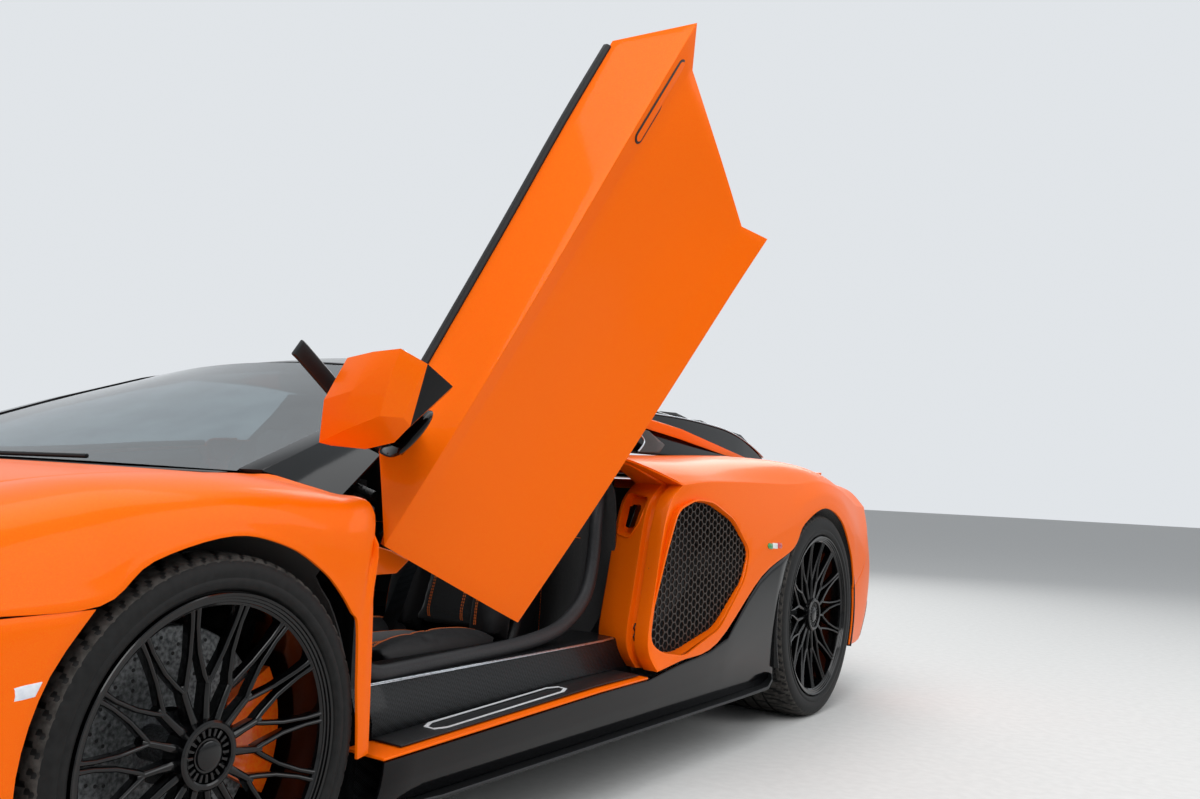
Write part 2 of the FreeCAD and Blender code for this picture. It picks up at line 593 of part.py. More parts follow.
# Rocker strip, skirt and its blade, along the sill.
sill_line = [(-939.5, 276), (-557.5, 286), (-135.5, 299), (106, 301)]
rockers = skin([[(size("tub_half_width") + size("running_gap"), along(y), z - 8), (across(1006), along(y), z - 12)]
                for y, z in sill_line], wall)
add("rockers", pair(rockers))
skirt_line = sill_line + [(280, 312), (460, 326), (520, 338), (600, 356), (830, 520), (1080.5, 596)]
skirt_low = size("skirt_height")
skirt_foot = skirt_low + 14
skirt_rows = []
for y, z in skirt_line:
    top = z - gap - wall - (10 if y < 200 else 0)
    heights = [skirt_foot + (top - skirt_foot) * share for share in (1, 0.75, 0.5, 0.25, 0)]
    if y > 1076:
        row = [arc_y(380, REAR_LINE, 355, height, -1) for height in heights]
    else:
        row = [y] * 5
    skirt_rows.append(list(zip((1008, 1006, 1002, 995, 985), row, heights)))
skirt = skin(fitted(skirt_rows), wall)
blade_plan = [(905.3, -893.5), (985, -893.5), (1015, -763.5), (1022, 956.5), (985, 981.5), (905.3, 981.5)]
blade = prism([(across(x), along(y), skirt_low) for x, y in blade_plan], (0, 0, 16))
both("skirt", fused([skirt, blade]))

# Rear deck: shelves beside the engine cover, and the two buttresses.
deck_rows = []
for y, z in [(370.3, 905), (900, 900), (1400, 900), (1800, 872), (2112, 838)]:
    deck_rows.append([(484, y, z), (570, y, z), (684, y, z - 8)])
deck = skin(fitted(deck_rows), wall)
buttress = beam(fitted([
    [(590, 408, 1046), (650, 408, 1030), (650, 408, 1000), (590, 408, 1010)],
    [(610, 900, 1000), (670, 900, 984), (668, 900, 950), (608, 900, 960)],
    [(620, 1500, 905), (676, 1500, 896), (676, 1500, 880), (620, 1500, 880)],
]))
cover_y = along(450)
cover_z = size("cover_hinge_z")
cross_y = along(408)
cross = box(across(-640), across(640), cross_y, cross_y + 20, cover_z - 49, cover_z - 26)
pins = []
for x in (350, -350):
    pins.append(rod((x - 20, cover_y, cover_z), (x + 20, cover_y, cover_z), 6))
    pins.append(box(x + 19, x + 30, cross_y + 1, cover_y + 8, cover_z - 44, cover_z + 6))
deck_side = fused([deck, buttress])
tail_panel = skin(fitted([[(x, 2106, 836), (x, 2300, 812)] for x in (735, 0, -735)]), wall)
add("rear_deck", fused([deck_side, mirrored(deck_side), cross, tail_panel] + pins))

# Engine cover: an upturned tray, hinged at its front edge.
cover_rows = []
for y, z, rise in [(445, 1046, 30), (1000, 1046, 30), (1400, 1044, 30), (1860, 1012, 25), (2095, 925, 15)]:
    cover_rows.append([(-470, y, z - 120), (-458, y, z)]
                      + [(470 * s, y, z + rise * (1 - s ** 2)) for s in (-0.6, 0, 0.6)]
                      + [(458, y, z), (470, y, z - 120)])
cover_parts = [skin(fitted(cover_rows), wall)]
for x in (350, -350):
    cover_parts.append(rod((x - 15, cover_y, cover_z), (x + 15, cover_y, cover_z), 12))
    cover_parts.append(box(x - 15, x + 15, cover_y - 4, cover_y + 12, cover_z, cover_z + 22))
cover_hole = rod((-400, cover_y, cover_z), (400, cover_y, cover_z), 6 + size("running_gap"))
add("engine_cover", fused(cover_parts).cut(cover_hole))

# Rear wing, parked on the tail panel.
wing = beam(fitted([[(x, 2150, 846), (x, 2250, 866), (x, 2345, 872), (x, 2345, 862), (x, 2250, 850), (x, 2150, 838)]
                    for x in (640, 0, -640)]))
pylon = prism([(300, along(y), z) for y, z in [(2200, 824.7), (2260, 817.3), (2260, 858), (2200, 850)]], (26, 0, 0))
add("rear_wing", fused([wing, pylon, mirrored(pylon)]))

# Rear bumper, from the wheel opening round to the middle.
tail_rows = [
    [(1002, arc_y(380, REAR_LINE, 355, z, 1), z) for z in (424, 350, 280, 215)],
    [(990, REAR_LINE + 510, 484), (985, REAR_LINE + 530, 400), (980, REAR_LINE + 530, 300), (970, REAR_LINE + 510, 205)],
    [(980, REAR_LINE + 580, 544), (968, REAR_LINE + 640, 440), (960, REAR_LINE + 660, 320), (945, REAR_LINE + 640, 210)],
    [(958, REAR_LINE + 650, 634), (945, REAR_LINE + 740, 500), (925, REAR_LINE + 780, 360), (900, REAR_LINE + 770, 225)],
    [(921, REAR_LINE + 711, 728), (900, REAR_LINE + 830, 560), (880, REAR_LINE + 870, 400), (840, REAR_LINE + 860, 240)],
    [(846, REAR_LINE + 742, 790), (840, REAR_LINE + 900, 620), (800, REAR_LINE + 940, 420), (740, REAR_LINE + 930, 260)],
    [(500, REAR_LINE + 900, 800), (500, 2358.5, 640), (480, 2378.5, 440), (460, 2368.5, 280)],
    [(0, REAR_LINE + 935, 806), (0, 2383.5, 640), (0, 2398.5, 440), (0, 2388.5, 290)],
]
rear_bumper = skin(fitted(whole(tail_rows)), wall)
rear_opening = [(across(x), z) for x, z in [(-700, 470), (700, 470), (760, 730), (-760, 730)]]
pipe_opening = [(-190, 275), (190, 275), (190, 408), (-190, 408)]
rear_bumper = rear_bumper.cut(through(rear_opening, along(2076.5), tail + 50))
rear_bumper = rear_bumper.cut(through(pipe_opening, along(2076.5), tail + 50))
add("rear_bumper", rear_bumper)
tail_mesh_y = along(2166.5)
rear_plate = through([(across(x), z) for x, z in [(-690, 460), (690, 460), (750, 740), (-750, 740)]], tail_mesh_y, tail_mesh_y + size("mesh_wall"))
add("rear_grille", honeycomb(rear_plate, (0, tail_mesh_y, 600), (1, 0, 0), (0, 0, 1), (0, 1, 0), 11, 1))
lamp_y = tail_mesh_y + size("mesh_wall") + size("running_gap")
lamp = beam([[(x, lamp_y, z), (x, lamp_y + 53.7, z), (x, lamp_y + 53.7, z + 30), (x, lamp_y, z + 30)]
             for x, z in [(across(520), 660), (across(640), 650), (across(730), 680)]])
add("tail_lamps", pair(lamp))

# Diffuser and exhaust.
floor_z = size("floor_height")
diffuser_y = along(1823.9)
diffuser_rows = [[(x, diffuser_y, floor_z), (x, along(2100), 170), (x, along(2323.5), 260)] for x in (-620, 0, 620)]
diffuser = skin(diffuser_rows, 8)
fins = [prism([(x, along(y), z) for y, z in [(1850, 120), (2318.5, 150), (2318.5, 260), (2100, 174), (1850, 128)]], (8, 0, 0))
        for x in (-480, -240, 232, 472)]
add("diffuser", fused([diffuser] + fins))
pipe_z = "sizes.silencer_top - 60"
silencer = named("Part::Box", "silencer", {
    "Length": "2 * sizes.silencer_half", "Width": "180", "Height": "sizes.silencer_top - 290",
    "Placement.Base.x": "-sizes.silencer_half", "Placement.Base.y": "sizes.half_length - 420", "Placement.Base.z": "290"})
pipes = [silencer]
bores = []
for number, x in enumerate((-120, 0, 120)):
    for group, stem, radius, start, length in ((pipes, "pipe", "sizes.pipe_radius", 260, 240),
                                               (bores, "pipe_bore", "sizes.pipe_radius - sizes.pipe_wall", 200, 200)):
        group.append(named("Part::Cylinder", "%s_%d" % (stem, number), {
            "Radius": radius, "Height": str(length), "Placement.Base.y": "sizes.half_length - %d" % start,
            "Placement.Base.z": pipe_z},
            Placement=FreeCAD.Placement(Vector(x, 0, 0), FreeCAD.Rotation(Vector(1, 0, 0), -90))))
kept(named("Part::Cut", "exhaust", Base=named("Part::MultiFuse", "exhaust_outside", Shapes=pipes),
           Tool=named("Part::MultiFuse", "exhaust_bores", Shapes=bores)))

# Underfloor: one flat panel, narrow between the wheels.
arch_start = "sizes.front_axle_y + sizes.wheelbase - sizes.arch_rear"
floor_corners = [("sizes.footwell_half_width", ahead(0.3916) + " + sizes.running_gap"),
                 ("sizes.footwell_half_width", "sizes.cabin_front_y - 20"),
                 ("sizes.tub_half_width - 5", "sizes.cabin_front_y - 20"), ("sizes.tub_half_width - 5", arch_start + " - 36"),
                 ("sizes.sill_inner - 20", arch_start), ("sizes.sill_inner - 20", str(diffuser_y - 1.9))]
floor_corners += [("-(%s)" % x, y) for x, y in floor_corners[::-1]]
underfloor = named("PartDesign::Body", "underfloor")
floor_plan = outline(underfloor, "floor_plan", "XY_Plane", floor_corners, "sizes.floor_height")
grown(underfloor, "floor_panel", floor_plan, "sizes.floor_wall")
kept(underfloor)

# Tub: floor, sills, tunnel and bulkheads.
base = floor_z + size("floor_wall")
deck_z = base + size("tub_floor")
out_x = size("tub_half_width")
foot = size("footwell_half_width")
front_y = size("cabin_front_y")
rear_y = size("bulkhead_rear_y")
thick = size("bulkhead_wall")
sill_top = size("sill_height")
inner_x = size("sill_inner")
sill = prism([(out_x, front_y, base), (out_x, front_y, 300), (across(880), front_y, sill_top),
              (across(700), front_y, sill_top), (inner_x, front_y, 330), (inner_x, front_y, base)],
             (0, size("sill_end_y") - front_y, 0))
wall_top = size("inner_wall_height")
foot_front = front_axle_y - size("footwell_reach")
front_wall = box(foot, across(880), front_y, front_y + thick, base, wall_top)
foot_wall = box(foot - thick, foot, foot_front, front_y + thick, base, wall_top)
hinge_post = box(across(800), across(856), front_y, front_y + thick, base, size("hinge_z") + 29.5)
tub_parts = [
    box(-out_x, out_x, front_y, size("sill_end_y"), base, deck_z),
    box(-inner_x, inner_x, size("sill_end_y") - 1, bulkhead_back, base, deck_z),
    box(-foot, foot, foot_front, front_y, base, deck_z),
    box(-foot, foot, foot_front, foot_front + thick, base, wall_top),
    box(-inner_x, inner_x, rear_y, bulkhead_back, base, cover_z - 34),
    box(-size("tunnel_half_width"), size("tunnel_half_width"), front_y + 5, rear_y + 1, base, size("tunnel_height")),
]
scuttle = box(-foot + 20, foot - 20, cowl_front + 1, cowl_front + 25, wall_top - 10, cowl_top - 12.3)
pillar_foot = box(foot - 1, across(716), along(-1040), along(-1006), wall_top - 50, 757.7)
fender_stay = fused([box(across(800), across(984), along(-1012), along(-994), 590, 630),
                     box(across(800), across(870), along(-1012), front_y + 1, 590, 630)])
fender_stay = largest(fender_stay.cut(fender))
roof_post = inner_end(box(inner_x - 1, across(720), rear_y, bulkhead_back, 780, 875).cut(quarter))
tub_parts.append(scuttle)
for shape in (sill, front_wall, foot_wall, hinge_post, pillar_foot, fender_stay, roof_post):
    tub_parts += [shape, mirrored(shape)]
hinge = Vector(out_x - size("hinge_inset"), size("hinge_y"), size("hinge_z"))
turn = math.radians(size("hinge_turn"))
fall = math.radians(size("hinge_fall"))
hinge_axis = Vector(math.cos(turn) * math.cos(fall), math.sin(turn) * math.cos(fall), -math.sin(fall))
pin_start = hinge - hinge_axis * 60
pin_end = hinge + hinge_axis * 4
pin_r = size("hinge_pin")
pin = Part.makeCylinder(pin_r, (pin_end - pin_start).Length, pin_start, hinge_axis)
tub_parts += [pin, mirrored(pin)]
tub = fused(tub_parts)
add("tub", tub)

# Rear frame: rails behind the bulkhead that carry the arms, the silencer and the bumper.
rail_x = size("rail_x")
rail_face = rail_x + size("rail_width")
frame_start = bulkhead_back + size("running_gap")
frame_end = along(2080)
post_y = rear_axle_y + 163.5
arm_reach = 125.0
low_rail = (rear_hub_z - arm_reach - 30, rear_hub_z - arm_reach + 30)
high_rail = (rear_hub_z + arm_reach - 30, rear_hub_z + arm_reach + 30)
silencer_top = size("silencer_top")
crash_z = silencer_top + 19.7
frame_side = [
    box(rail_x, rail_face, frame_start, frame_end, *low_rail),
    box(rail_x, rail_face, frame_start, frame_end, *high_rail),
    box(rail_x, rail_face, frame_end - 40, frame_end, low_rail[0], high_rail[1]),
    box(rail_x, rail_face, post_y, post_y + 40, low_rail[0], high_rail[1]),
    box(rail_x, rail_face, frame_start, frame_start + 40, low_rail[0], high_rail[1]),
    box(rail_x, rail_face, frame_end - 1, tail - 22, crash_z, crash_z + 40),
]
rear_frame = [box(-rail_face, rail_face, frame_end - 40, frame_end, silencer_top + size("running_gap"), silencer_top + 40)]
for shape in frame_side:
    rear_frame += [shape, mirrored(shape)]
add("rear_frame", largest(fused(rear_frame).cut(rear_bumper)))

# Door: belt to bottom, as thick as the whole door. Columns: belt, shoulder, under it, middle, crease, bottom.
door_rows = [
    [(897, -805, 812), (984, -967, 729), (984, -966, 690), (985, -960, 520), (990, -955, 380), (990, -951, 291)],
    [(868, -600, 806), (984, -650, 742), (976, -650, 705), (975, -650, 520), (988, -650, 375), (1003, -650, 290)],
    [(858, -300, 825), (982, -330, 760), (968, -330, 715), (968, -330, 520), (990, -330, 372), (1012, -330, 294)],
    [(852, -30, 848), (979, -20, 780), (962, -20, 725), (965, -30, 520), (994, -40, 370), (1020, -50, 300)],
    [(850, 185, 863), (976, 304, 799), (965, 235, 728), (980, 155, 520), (1000, 86, 372), (1029, 105, 305)],
]
door_rows = fitted(door_rows)
door_skin = skin(door_rows, size("door_wall"))
barrel = Part.makeCylinder(2 * pin_r, 69, hinge - hinge_axis * 24, hinge_axis)
bore = Part.makeCylinder(pin_r + size("running_gap"), 77, hinge - hinge_axis * 70, hinge_axis)
under_door = prism([(across(800), y, z) for y, z in [
    (-1000, 200), (300, 200), (300, 307), (105, 303), (-50, 298), (-330, 292), (-650, 288), (-1000, 289)]], (300, 0, 0))
# The inner part of the rear end stands back from the seam, so that the rising door clears the pillar.
rear_end = []
for x, y, z in door_rows[-1]:
    rear_end.append([(x - 5, y - 2, z - 4), (x - 90, y - 62, z - 40), (x - 90, y + 120, z - 40), (x - 5, y + 120, z - 4)])
heel = box(across(880), across(925), -1000, -700, 200, 420)
door_body = fused([door_skin, barrel]).cut(bore).cut(under_door).cut(beam(rear_end)).cut(heel)
mirror_shell = beam(fitted([
    [(972, -866, 958), (972, -874, 984), (972, -806, 1028), (972, -720, 1038), (972, -712, 915)],
    [(1040, -840, 940), (1040, -832, 1000), (1040, -770, 1036), (1040, -692, 1046), (1040, -690, 902)],
    [(1105, -806, 945), (1105, -784, 1004), (1105, -730, 1028), (1105, -668, 1048), (1105, -670, 905)],
    [(1130, -768, 955), (1130, -764, 978), (1130, -716, 992), (1130, -663, 1000), (1130, -665, 925)],
]))
mirror_arm = beam(fitted([
    [(925, -800, 765), (925, -740, 765), (925, -740, 800), (925, -800, 800)],
    [(1030, -805, 900), (1030, -720, 880), (1030, -720, 935), (1030, -805, 950)],
]))
mirror = fused([mirror_shell, mirror_arm]).cut(door_body)


def raised(shape):
    return shape.rotated(hinge, hinge_axis, size("door_angle"))


add("door_left", raised(door_body))
add("mirror_left", raised(mirror))
add("door_right", mirrored(door_body))
add("mirror_right", mirrored(mirror))

# Seats, dashboard and the steering wheel.
seat_foot = "sizes.floor_height + sizes.floor_wall + sizes.tub_floor + sizes.running_gap"
seat_side = [("-520", "300"), ("-480", seat_foot), ("120", seat_foot), ("300", "860"), ("250", "930"), ("180", "900"), ("20", "330")]
seat = named("PartDesign::Body", "seat")
seat_outline = outline(seat, "seat_side", "YZ_Plane", seat_side, "sizes.tunnel_half_width + sizes.seat_gap")
grown(seat, "seat_shell", seat_outline, "sizes.sill_inner - sizes.tunnel_half_width - sizes.seat_gap - 30")
kept(named("Part::Compound", "seats", Links=[seat, across_from(seat, "other_seat")]))
dash_y = front_y + thick + size("running_gap")
dash_x = across(700)
dash = prism([(-dash_x, dash_y, 560), (-dash_x, dash_y, 720), (-dash_x, dash_y + 124.7, 755),
              (-dash_x, dash_y + 204.7, 720), (-dash_x, dash_y + 184.7, 600)], (2 * dash_x, 0, 0))
column_end = Vector(380, dash_y + 304.7, 640)
column_axis = Vector(0, math.cos(math.radians(20)), math.sin(math.radians(20)))
column = Part.makeCylinder(14, 220, column_end - column_axis * 220, column_axis)
add("dashboard", fused([dash, column]))
rim_r, rim_half = size("wheel_rim_radius"), size("wheel_rim_section")
grip = [(rim_r + rim_half * math.cos(math.radians(angle)), rim_half * math.sin(math.radians(angle)))
        for angle in range(0, 360, 60)]
grip = [column_end + Vector(radius, 0, 0) + column_axis * height for radius, height in grip]
wheel_torus = Part.Face(Part.makePolygon(grip + grip[:1])).revolve(column_end, column_axis, 360)
hub = Part.makeCylinder(40, 40, column_end - column_axis * 24, column_axis)
spoke = Part.makeBox(2 * size("wheel_rim_radius"), 30, 12, Vector(-size("wheel_rim_radius"), -15, -6))
spoke.Placement = FreeCAD.Placement(column_end, FreeCAD.Rotation(Vector(0, 0, 1), column_axis))
steering = fused([wheel_torus, hub, spoke])
steering = steering.cut(Part.makeCylinder(14 + size("running_gap"), 240, column_end - column_axis * 239.5, column_axis))
add("steering_wheel", steering)

# Engine, one plain block on the floor behind the cabin.
kept(named("Part::Box", "engine", {
    "Length": "sizes.engine_width", "Width": "sizes.engine_length", "Height": "sizes.engine_height",
    "Placement.Base.x": "-sizes.engine_width / 2", "Placement.Base.y": "sizes.bulkhead_rear_y + sizes.bulkhead_wall + 60",
    "Placement.Base.z": "sizes.floor_height + sizes.floor_wall"}))

# Wheels. Each body lies on its own axle: x from the wheel's face, sketches as depth and radius.
def wheel_body(label, end):
    flank = "sizes.tub_half_width + sizes.%s_flank - sizes.wheel_inset" % end
    axle = "sizes.front_axle_y" if end == "front" else "sizes.front_axle_y + sizes.wheelbase"
    return named("PartDesign::Body", label, {
        "Placement.Base.x": flank, "Placement.Base.y": axle, "Placement.Base.z": "sizes.%s_tyre_radius" % end})


def inwards(points):
    """Depth behind the face and radius, as sketch corners."""
    return [("-(%s)" % depth, radius) for depth, radius in points]


def tyre(end):
    outer, width, seat = "sizes.%s_tyre_radius" % end, "sizes.%s_tyre_width" % end, "sizes.%s_rim_radius" % end
    bead = "sizes.rim_lip + sizes.bead_gap"
    half = [(bead, seat + " + sizes.bead_gap"), (bead, seat + " + sizes.rim_flange + 1"),
            ("0", seat + " + sizes.rim_flange + 18"), ("5", outer + " - 12"), ("24", outer)]
    half += [("%s - (%s)" % (width, depth), radius) for depth, radius in half[::-1]]
    body = wheel_body("tyre_%s_left" % end, end)
    spun(body, "tyre_%s_carcass" % end, outline(body, "tyre_%s_section" % end, "XY_Plane", inwards(half)))
    kept(body)
    kept(across_from(body, "tyre_%s_right" % end))


def rim(end, disc):
    """Barrel, forked spokes set round the axle, and the hub with its disc in one turned profile."""
    width, seat = "sizes.%s_tyre_width" % end, "sizes.%s_rim_radius" % end
    lip, flange, inner = "sizes.rim_lip", seat + " + sizes.rim_flange", seat + " - sizes.rim_wall"
    body = wheel_body("rim_%s_left" % end, end)
    section = [("2", flange), (lip, flange), (lip, seat), (width + " - " + lip, seat), (width + " - " + lip, flange),
               (width + " - 2", flange), (width + " - 10", inner), ("4", inner)]
    spun(body, "rim_%s_barrel" % end, outline(body, "rim_%s_section" % end, "XY_Plane", inwards(section)))
    reach = "(%s + 3)" % inner
    fork = "sizes.fork_share * " + reach
    half = "sizes.spoke_width / 2"
    spread = "(sizes.spoke_spread * 360 / sizes.spoke_count)"
    tip = "%s * cos(%s)" % (reach, spread)
    beside = "%s * sin(%s)" % (reach, spread)
    spoke = [("sizes.hub_radius - 6", "1.15 * " + half), (fork, half), (tip, "%s + 0.6 * %s" % (beside, half)),
             (tip, "%s - 0.6 * %s" % (beside, half)), (fork + " + 3 * " + half, "0")]
    spoke += [(along_it, "-(%s)" % over) for along_it, over in spoke[-2::-1]]
    plan = outline(body, "rim_%s_spoke_plan" % end, "YZ_Plane", spoke, "-sizes.rim_lip - sizes.spoke_depth")
    first_spoke = grown(body, "rim_%s_spoke" % end, plan, "sizes.spoke_depth")
    round_axle = body.newObject("PartDesign::PolarPattern", "rim_%s_spokes" % end)
    round_axle.Originals = [first_spoke]
    round_axle.Axis = (plan, ["N_Axis"])
    round_axle.Angle = 360
    round_axle.setExpression("Occurrences", "sizes.spoke_count")
    body.Tip = round_axle
    inset, hub, ring_in = "sizes.disc_inset", "sizes.hub_radius", "sizes.disc_bore"
    turned_hub = [("10", "0"), ("10", "sizes.cap_radius"), ("24", "sizes.cap_radius"), ("24", hub), (inset + " + 2", hub),
                  (inset + " + 2", ring_in), (inset, ring_in), (inset, disc), (inset + " + sizes.disc_thickness", disc),
                  (inset + " + sizes.disc_thickness", ring_in), (inset + " + 14", ring_in), (inset + " + 14", hub),
                  (inset + " + 20", hub), (inset + " + 20", "sizes.spindle_radius + sizes.running_gap"),
                  ("60", "sizes.spindle_radius + sizes.running_gap"), ("60", "0")]
    spun(body, "rim_%s_hub" % end, outline(body, "rim_%s_hub_section" % end, "XY_Plane", inwards(turned_hub)))
    kept(body)
    kept(across_from(body, "rim_%s_right" % end))


for end, disc in (("front", "sizes.disc_radius"), ("rear", "sizes.rear_disc_radius")):
    tyre(end)
    rim(end, disc)


def ring(outer, inner, x0, x1, axle_y, hub_z):
    tube = rod((x0, axle_y, hub_z), (x1, axle_y, hub_z), outer)
    return tube.cut(rod((x0 - 1, axle_y, hub_z), (x1 + 1, axle_y, hub_z), inner))


def caliper(face_x, axle_y, hub_z, disc_radius):
    """Caliper behind the axle, its bracket, the hub carrier and the stub axle."""
    outer_face = face_x - size("disc_inset")
    inner_face = outer_face - size("disc_thickness")
    clear = size("moving_gap")
    cheek = size("caliper_wall")
    low = inner_face - clear - cheek
    high = outer_face + clear + cheek
    body = ring(disc_radius + 26, 118, low, high, axle_y, hub_z)
    body = body.cut(ring(disc_radius + clear, 100, inner_face - clear, outer_face + clear, axle_y, hub_z))
    wedge = prism([(low - 1, axle_y, hub_z), (low - 1, axle_y + 400, hub_z + 230), (low - 1, axle_y + 400, hub_z - 230)],
                  (high - low + 2, 0, 0))
    body = body.common(wedge)
    bracket = box(low, inner_face - clear, axle_y, axle_y + 130, hub_z - 45, hub_z + 45)
    carrier = rod((low - 22, axle_y, hub_z), (inner_face - clear, axle_y, hub_z), 58)
    spindle = rod((low, axle_y, hub_z), (face_x - 62, axle_y, hub_z), size("spindle_radius"))
    return fused([body, bracket, carrier, spindle]), low


front_face = hip - size("wheel_inset")
rear_face = side - size("wheel_inset")

# Front knuckle: it turns about its post, between two wishbones.
kingpin_x = front_face - size("kingpin_inset")
kingpin_r = size("kingpin_radius")
knuckle, low = caliper(front_face, front_axle_y, front_hub_z, size("disc_radius"))
post = rod((kingpin_x, front_axle_y, front_hub_z - 150), (kingpin_x, front_axle_y, front_hub_z + 150), kingpin_r)
both("knuckle", fused([knuckle, post]))
upright, low = caliper(rear_face, rear_axle_y, rear_hub_z, size("rear_disc_radius"))
arms = []
for z in (front_hub_z - 125, front_hub_z + 125):
    eye = Part.makeCylinder(kingpin_r + 16, 30, Vector(kingpin_x, front_axle_y, z - 15))
    lean = math.atan2(150, kingpin_x - 30 - foot)
    root_x = foot + 12 * math.sin(lean) + size("running_gap")
    legs = [rod((root_x, front_axle_y + shift, z), (kingpin_x - 30, front_axle_y, z), 12) for shift in (-150, 150)]
    hole = Part.makeCylinder(kingpin_r + size("running_gap"), 60, Vector(kingpin_x, front_axle_y, z - 30))
    arms.append(fused([eye] + legs).cut(hole))
rear_arms = []
for z in (rear_hub_z - 125, rear_hub_z + 125):
    legs = [rod((435, rear_axle_y + shift, z), (low - 18, rear_axle_y, rear_hub_z + (z - rear_hub_z) * 0.3), 14) for shift in (-170, 170)]
    rear_arms += legs
rear_corner = fused([upright] + rear_arms)
for z in (rear_hub_z - 125, rear_hub_z + 125):
    for shift in (-170, 170):
        rear_corner = rear_corner.fuse(box(rail_face + size("running_gap"), 445, rear_axle_y + shift - 22, rear_axle_y + shift + 22, z - 22, z + 22))
rear_corner = rear_corner.removeSplitter()
add("rear_uprights", pair(rear_corner))
add("suspension", loose(arms + [mirrored(arm) for arm in arms]))


# Arch liners: half rings over the wheels.
def liner(axle_y, hub_z, radius, x0, x1):
    tube = ring(radius + 4, radius, x0, x1, axle_y, hub_z)
    return tube.common(box(x0 - 1, x1 + 1, axle_y - 500, axle_y + 500, hub_z - 60, hub_z + 600))


front_liner = liner(front_axle_y, front_hub_z, size("arch_front") + 32, foot + size("running_gap"), hip - 19)
front_liner = front_liner.cut(box(out_x, hip + 10, along(-985), front_y + 5, 200, 800))
rear_liner = liner(rear_axle_y, rear_hub_z, size("arch_rear") + 6, rail_face + size("running_gap"), side - 55)
add("arch_liners", loose([front_liner, mirrored(front_liner), rear_liner, mirrored(rear_liner)]))

# Trims of the door openings: the sill's tread plate and the rubber seal.
plate = skin([[(out_x + 45, y, z - 4), (out_x + 4.5, y, z - 3), (out_x + 4.5, y, 301), (across(884), y, sill_top + 4.3),
               (across(704), y, sill_top + 4.3)] for y, z in [(-860, 277), (-400, 291), (80, 300)]], -4)
add("aperture_trims", pair(plate.cut(tub).cut(rockers)))

doc.recompute()
unsound = []
for label, piece in nodes.items():
    if "Invalid" in piece.State or "Error" in piece.State:
        unsound.append(label)
    elif piece.Shape.isNull() or not piece.Shape.isValid():
        unsound.append(label)
if unsound:
    raise SystemExit("not sound: " + ", ".join(unsound))

os.makedirs("parts", exist_ok=True)
for label, piece in nodes.items():
    piece.Shape.exportStep("parts/%s.step" % label)
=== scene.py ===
import math

import bpy
from mathutils import Matrix, Vector


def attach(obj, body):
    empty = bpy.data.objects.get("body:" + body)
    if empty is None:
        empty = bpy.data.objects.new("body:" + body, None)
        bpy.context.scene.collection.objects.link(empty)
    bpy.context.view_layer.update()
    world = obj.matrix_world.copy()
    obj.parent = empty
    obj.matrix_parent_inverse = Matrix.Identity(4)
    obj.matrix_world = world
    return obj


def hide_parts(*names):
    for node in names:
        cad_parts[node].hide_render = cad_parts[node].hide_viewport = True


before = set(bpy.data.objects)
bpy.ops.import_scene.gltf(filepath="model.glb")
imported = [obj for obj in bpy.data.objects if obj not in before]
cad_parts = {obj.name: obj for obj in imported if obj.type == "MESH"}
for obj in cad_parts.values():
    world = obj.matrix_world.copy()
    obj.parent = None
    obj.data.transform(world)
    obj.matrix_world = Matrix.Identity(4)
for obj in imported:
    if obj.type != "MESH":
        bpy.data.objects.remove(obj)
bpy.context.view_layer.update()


# --- Carbon tub -------------------------------------------------------------
# The real tub is a one-piece moulding of carbon fibre in epoxy, with a satin
# clear coat. The floor, sills, tunnel and bulkheads are laid up together.

def linear(hex_colour):
    """An sRGB hex colour as the linear one that the shaders work in."""
    parts = [int(hex_colour[i:i + 2], 16) / 255 for i in (1, 3, 5)]
    return tuple(c / 12.92 if c <= 0.04045 else ((c + 0.055) / 1.055) ** 2.4 for c in parts) + (1.0,)


def add_node(tree, kind, values=None, links=None, **settings):
    """One shader node with its settings, socket values and incoming links."""
    node = tree.nodes.new(kind)
    for key, value in settings.items():
        setattr(node, key, value)
    for key, value in (values or {}).items():
        node.inputs[key].default_value = value
    for key, source in (links or {}).items():
        tree.links.new(source, node.inputs[key])
    return node


def finish(name, shader):
    """An empty material and its shader, with values that are the same all over."""
    material = bpy.data.materials.new(name)
    material.use_nodes = True
    tree = material.node_tree
    tree.nodes.clear()
    surface = add_node(tree, "ShaderNodeBsdfPrincipled", {k.replace("_", " "): v for k, v in shader.items()})
    add_node(tree, "ShaderNodeOutputMaterial", links={"Surface": surface.outputs[0]})
    where = add_node(tree, "ShaderNodeTexCoord").outputs["Object"]
    return material, tree, surface, where


def relief(tree, surface, height, rough, strength, depth):
    """One pattern carries both the roughness and the bump."""
    spread = add_node(tree, "ShaderNodeMapRange", {"To Min": rough[0], "To Max": rough[1]}, {"Value": height})
    bump = add_node(tree, "ShaderNodeBump", {"Strength": strength, "Distance": depth}, {"Height": height})
    tree.links.new(spread.outputs[0], surface.inputs["Roughness"])
    tree.links.new(bump.outputs[0], surface.inputs["Normal"])


def grained(name, scale, low, high, rough, depth, detail=6.0, stretch=None, **shader):
    """A finish whose colour, roughness and bump follow noise of one scale."""
    material, tree, surface, where = finish(name, shader)
    if stretch:
        where = add_node(tree, "ShaderNodeMapping", {"Scale": stretch}, {"Vector": where}).outputs[0]
    noise = add_node(tree, "ShaderNodeTexNoise", {"Scale": scale, "Detail": detail}, {"Vector": where})
    tint = add_node(tree, "ShaderNodeValToRGB", links={"Fac": noise.outputs[0]})
    for stop, share, colour in zip(tint.color_ramp.elements, (0.35, 0.65), (low, high)):
        stop.position, stop.color = share, linear(colour)
    tree.links.new(tint.outputs[0], surface.inputs["Base Color"])
    relief(tree, surface, noise.outputs[0], rough, 1.0, depth)
    return material


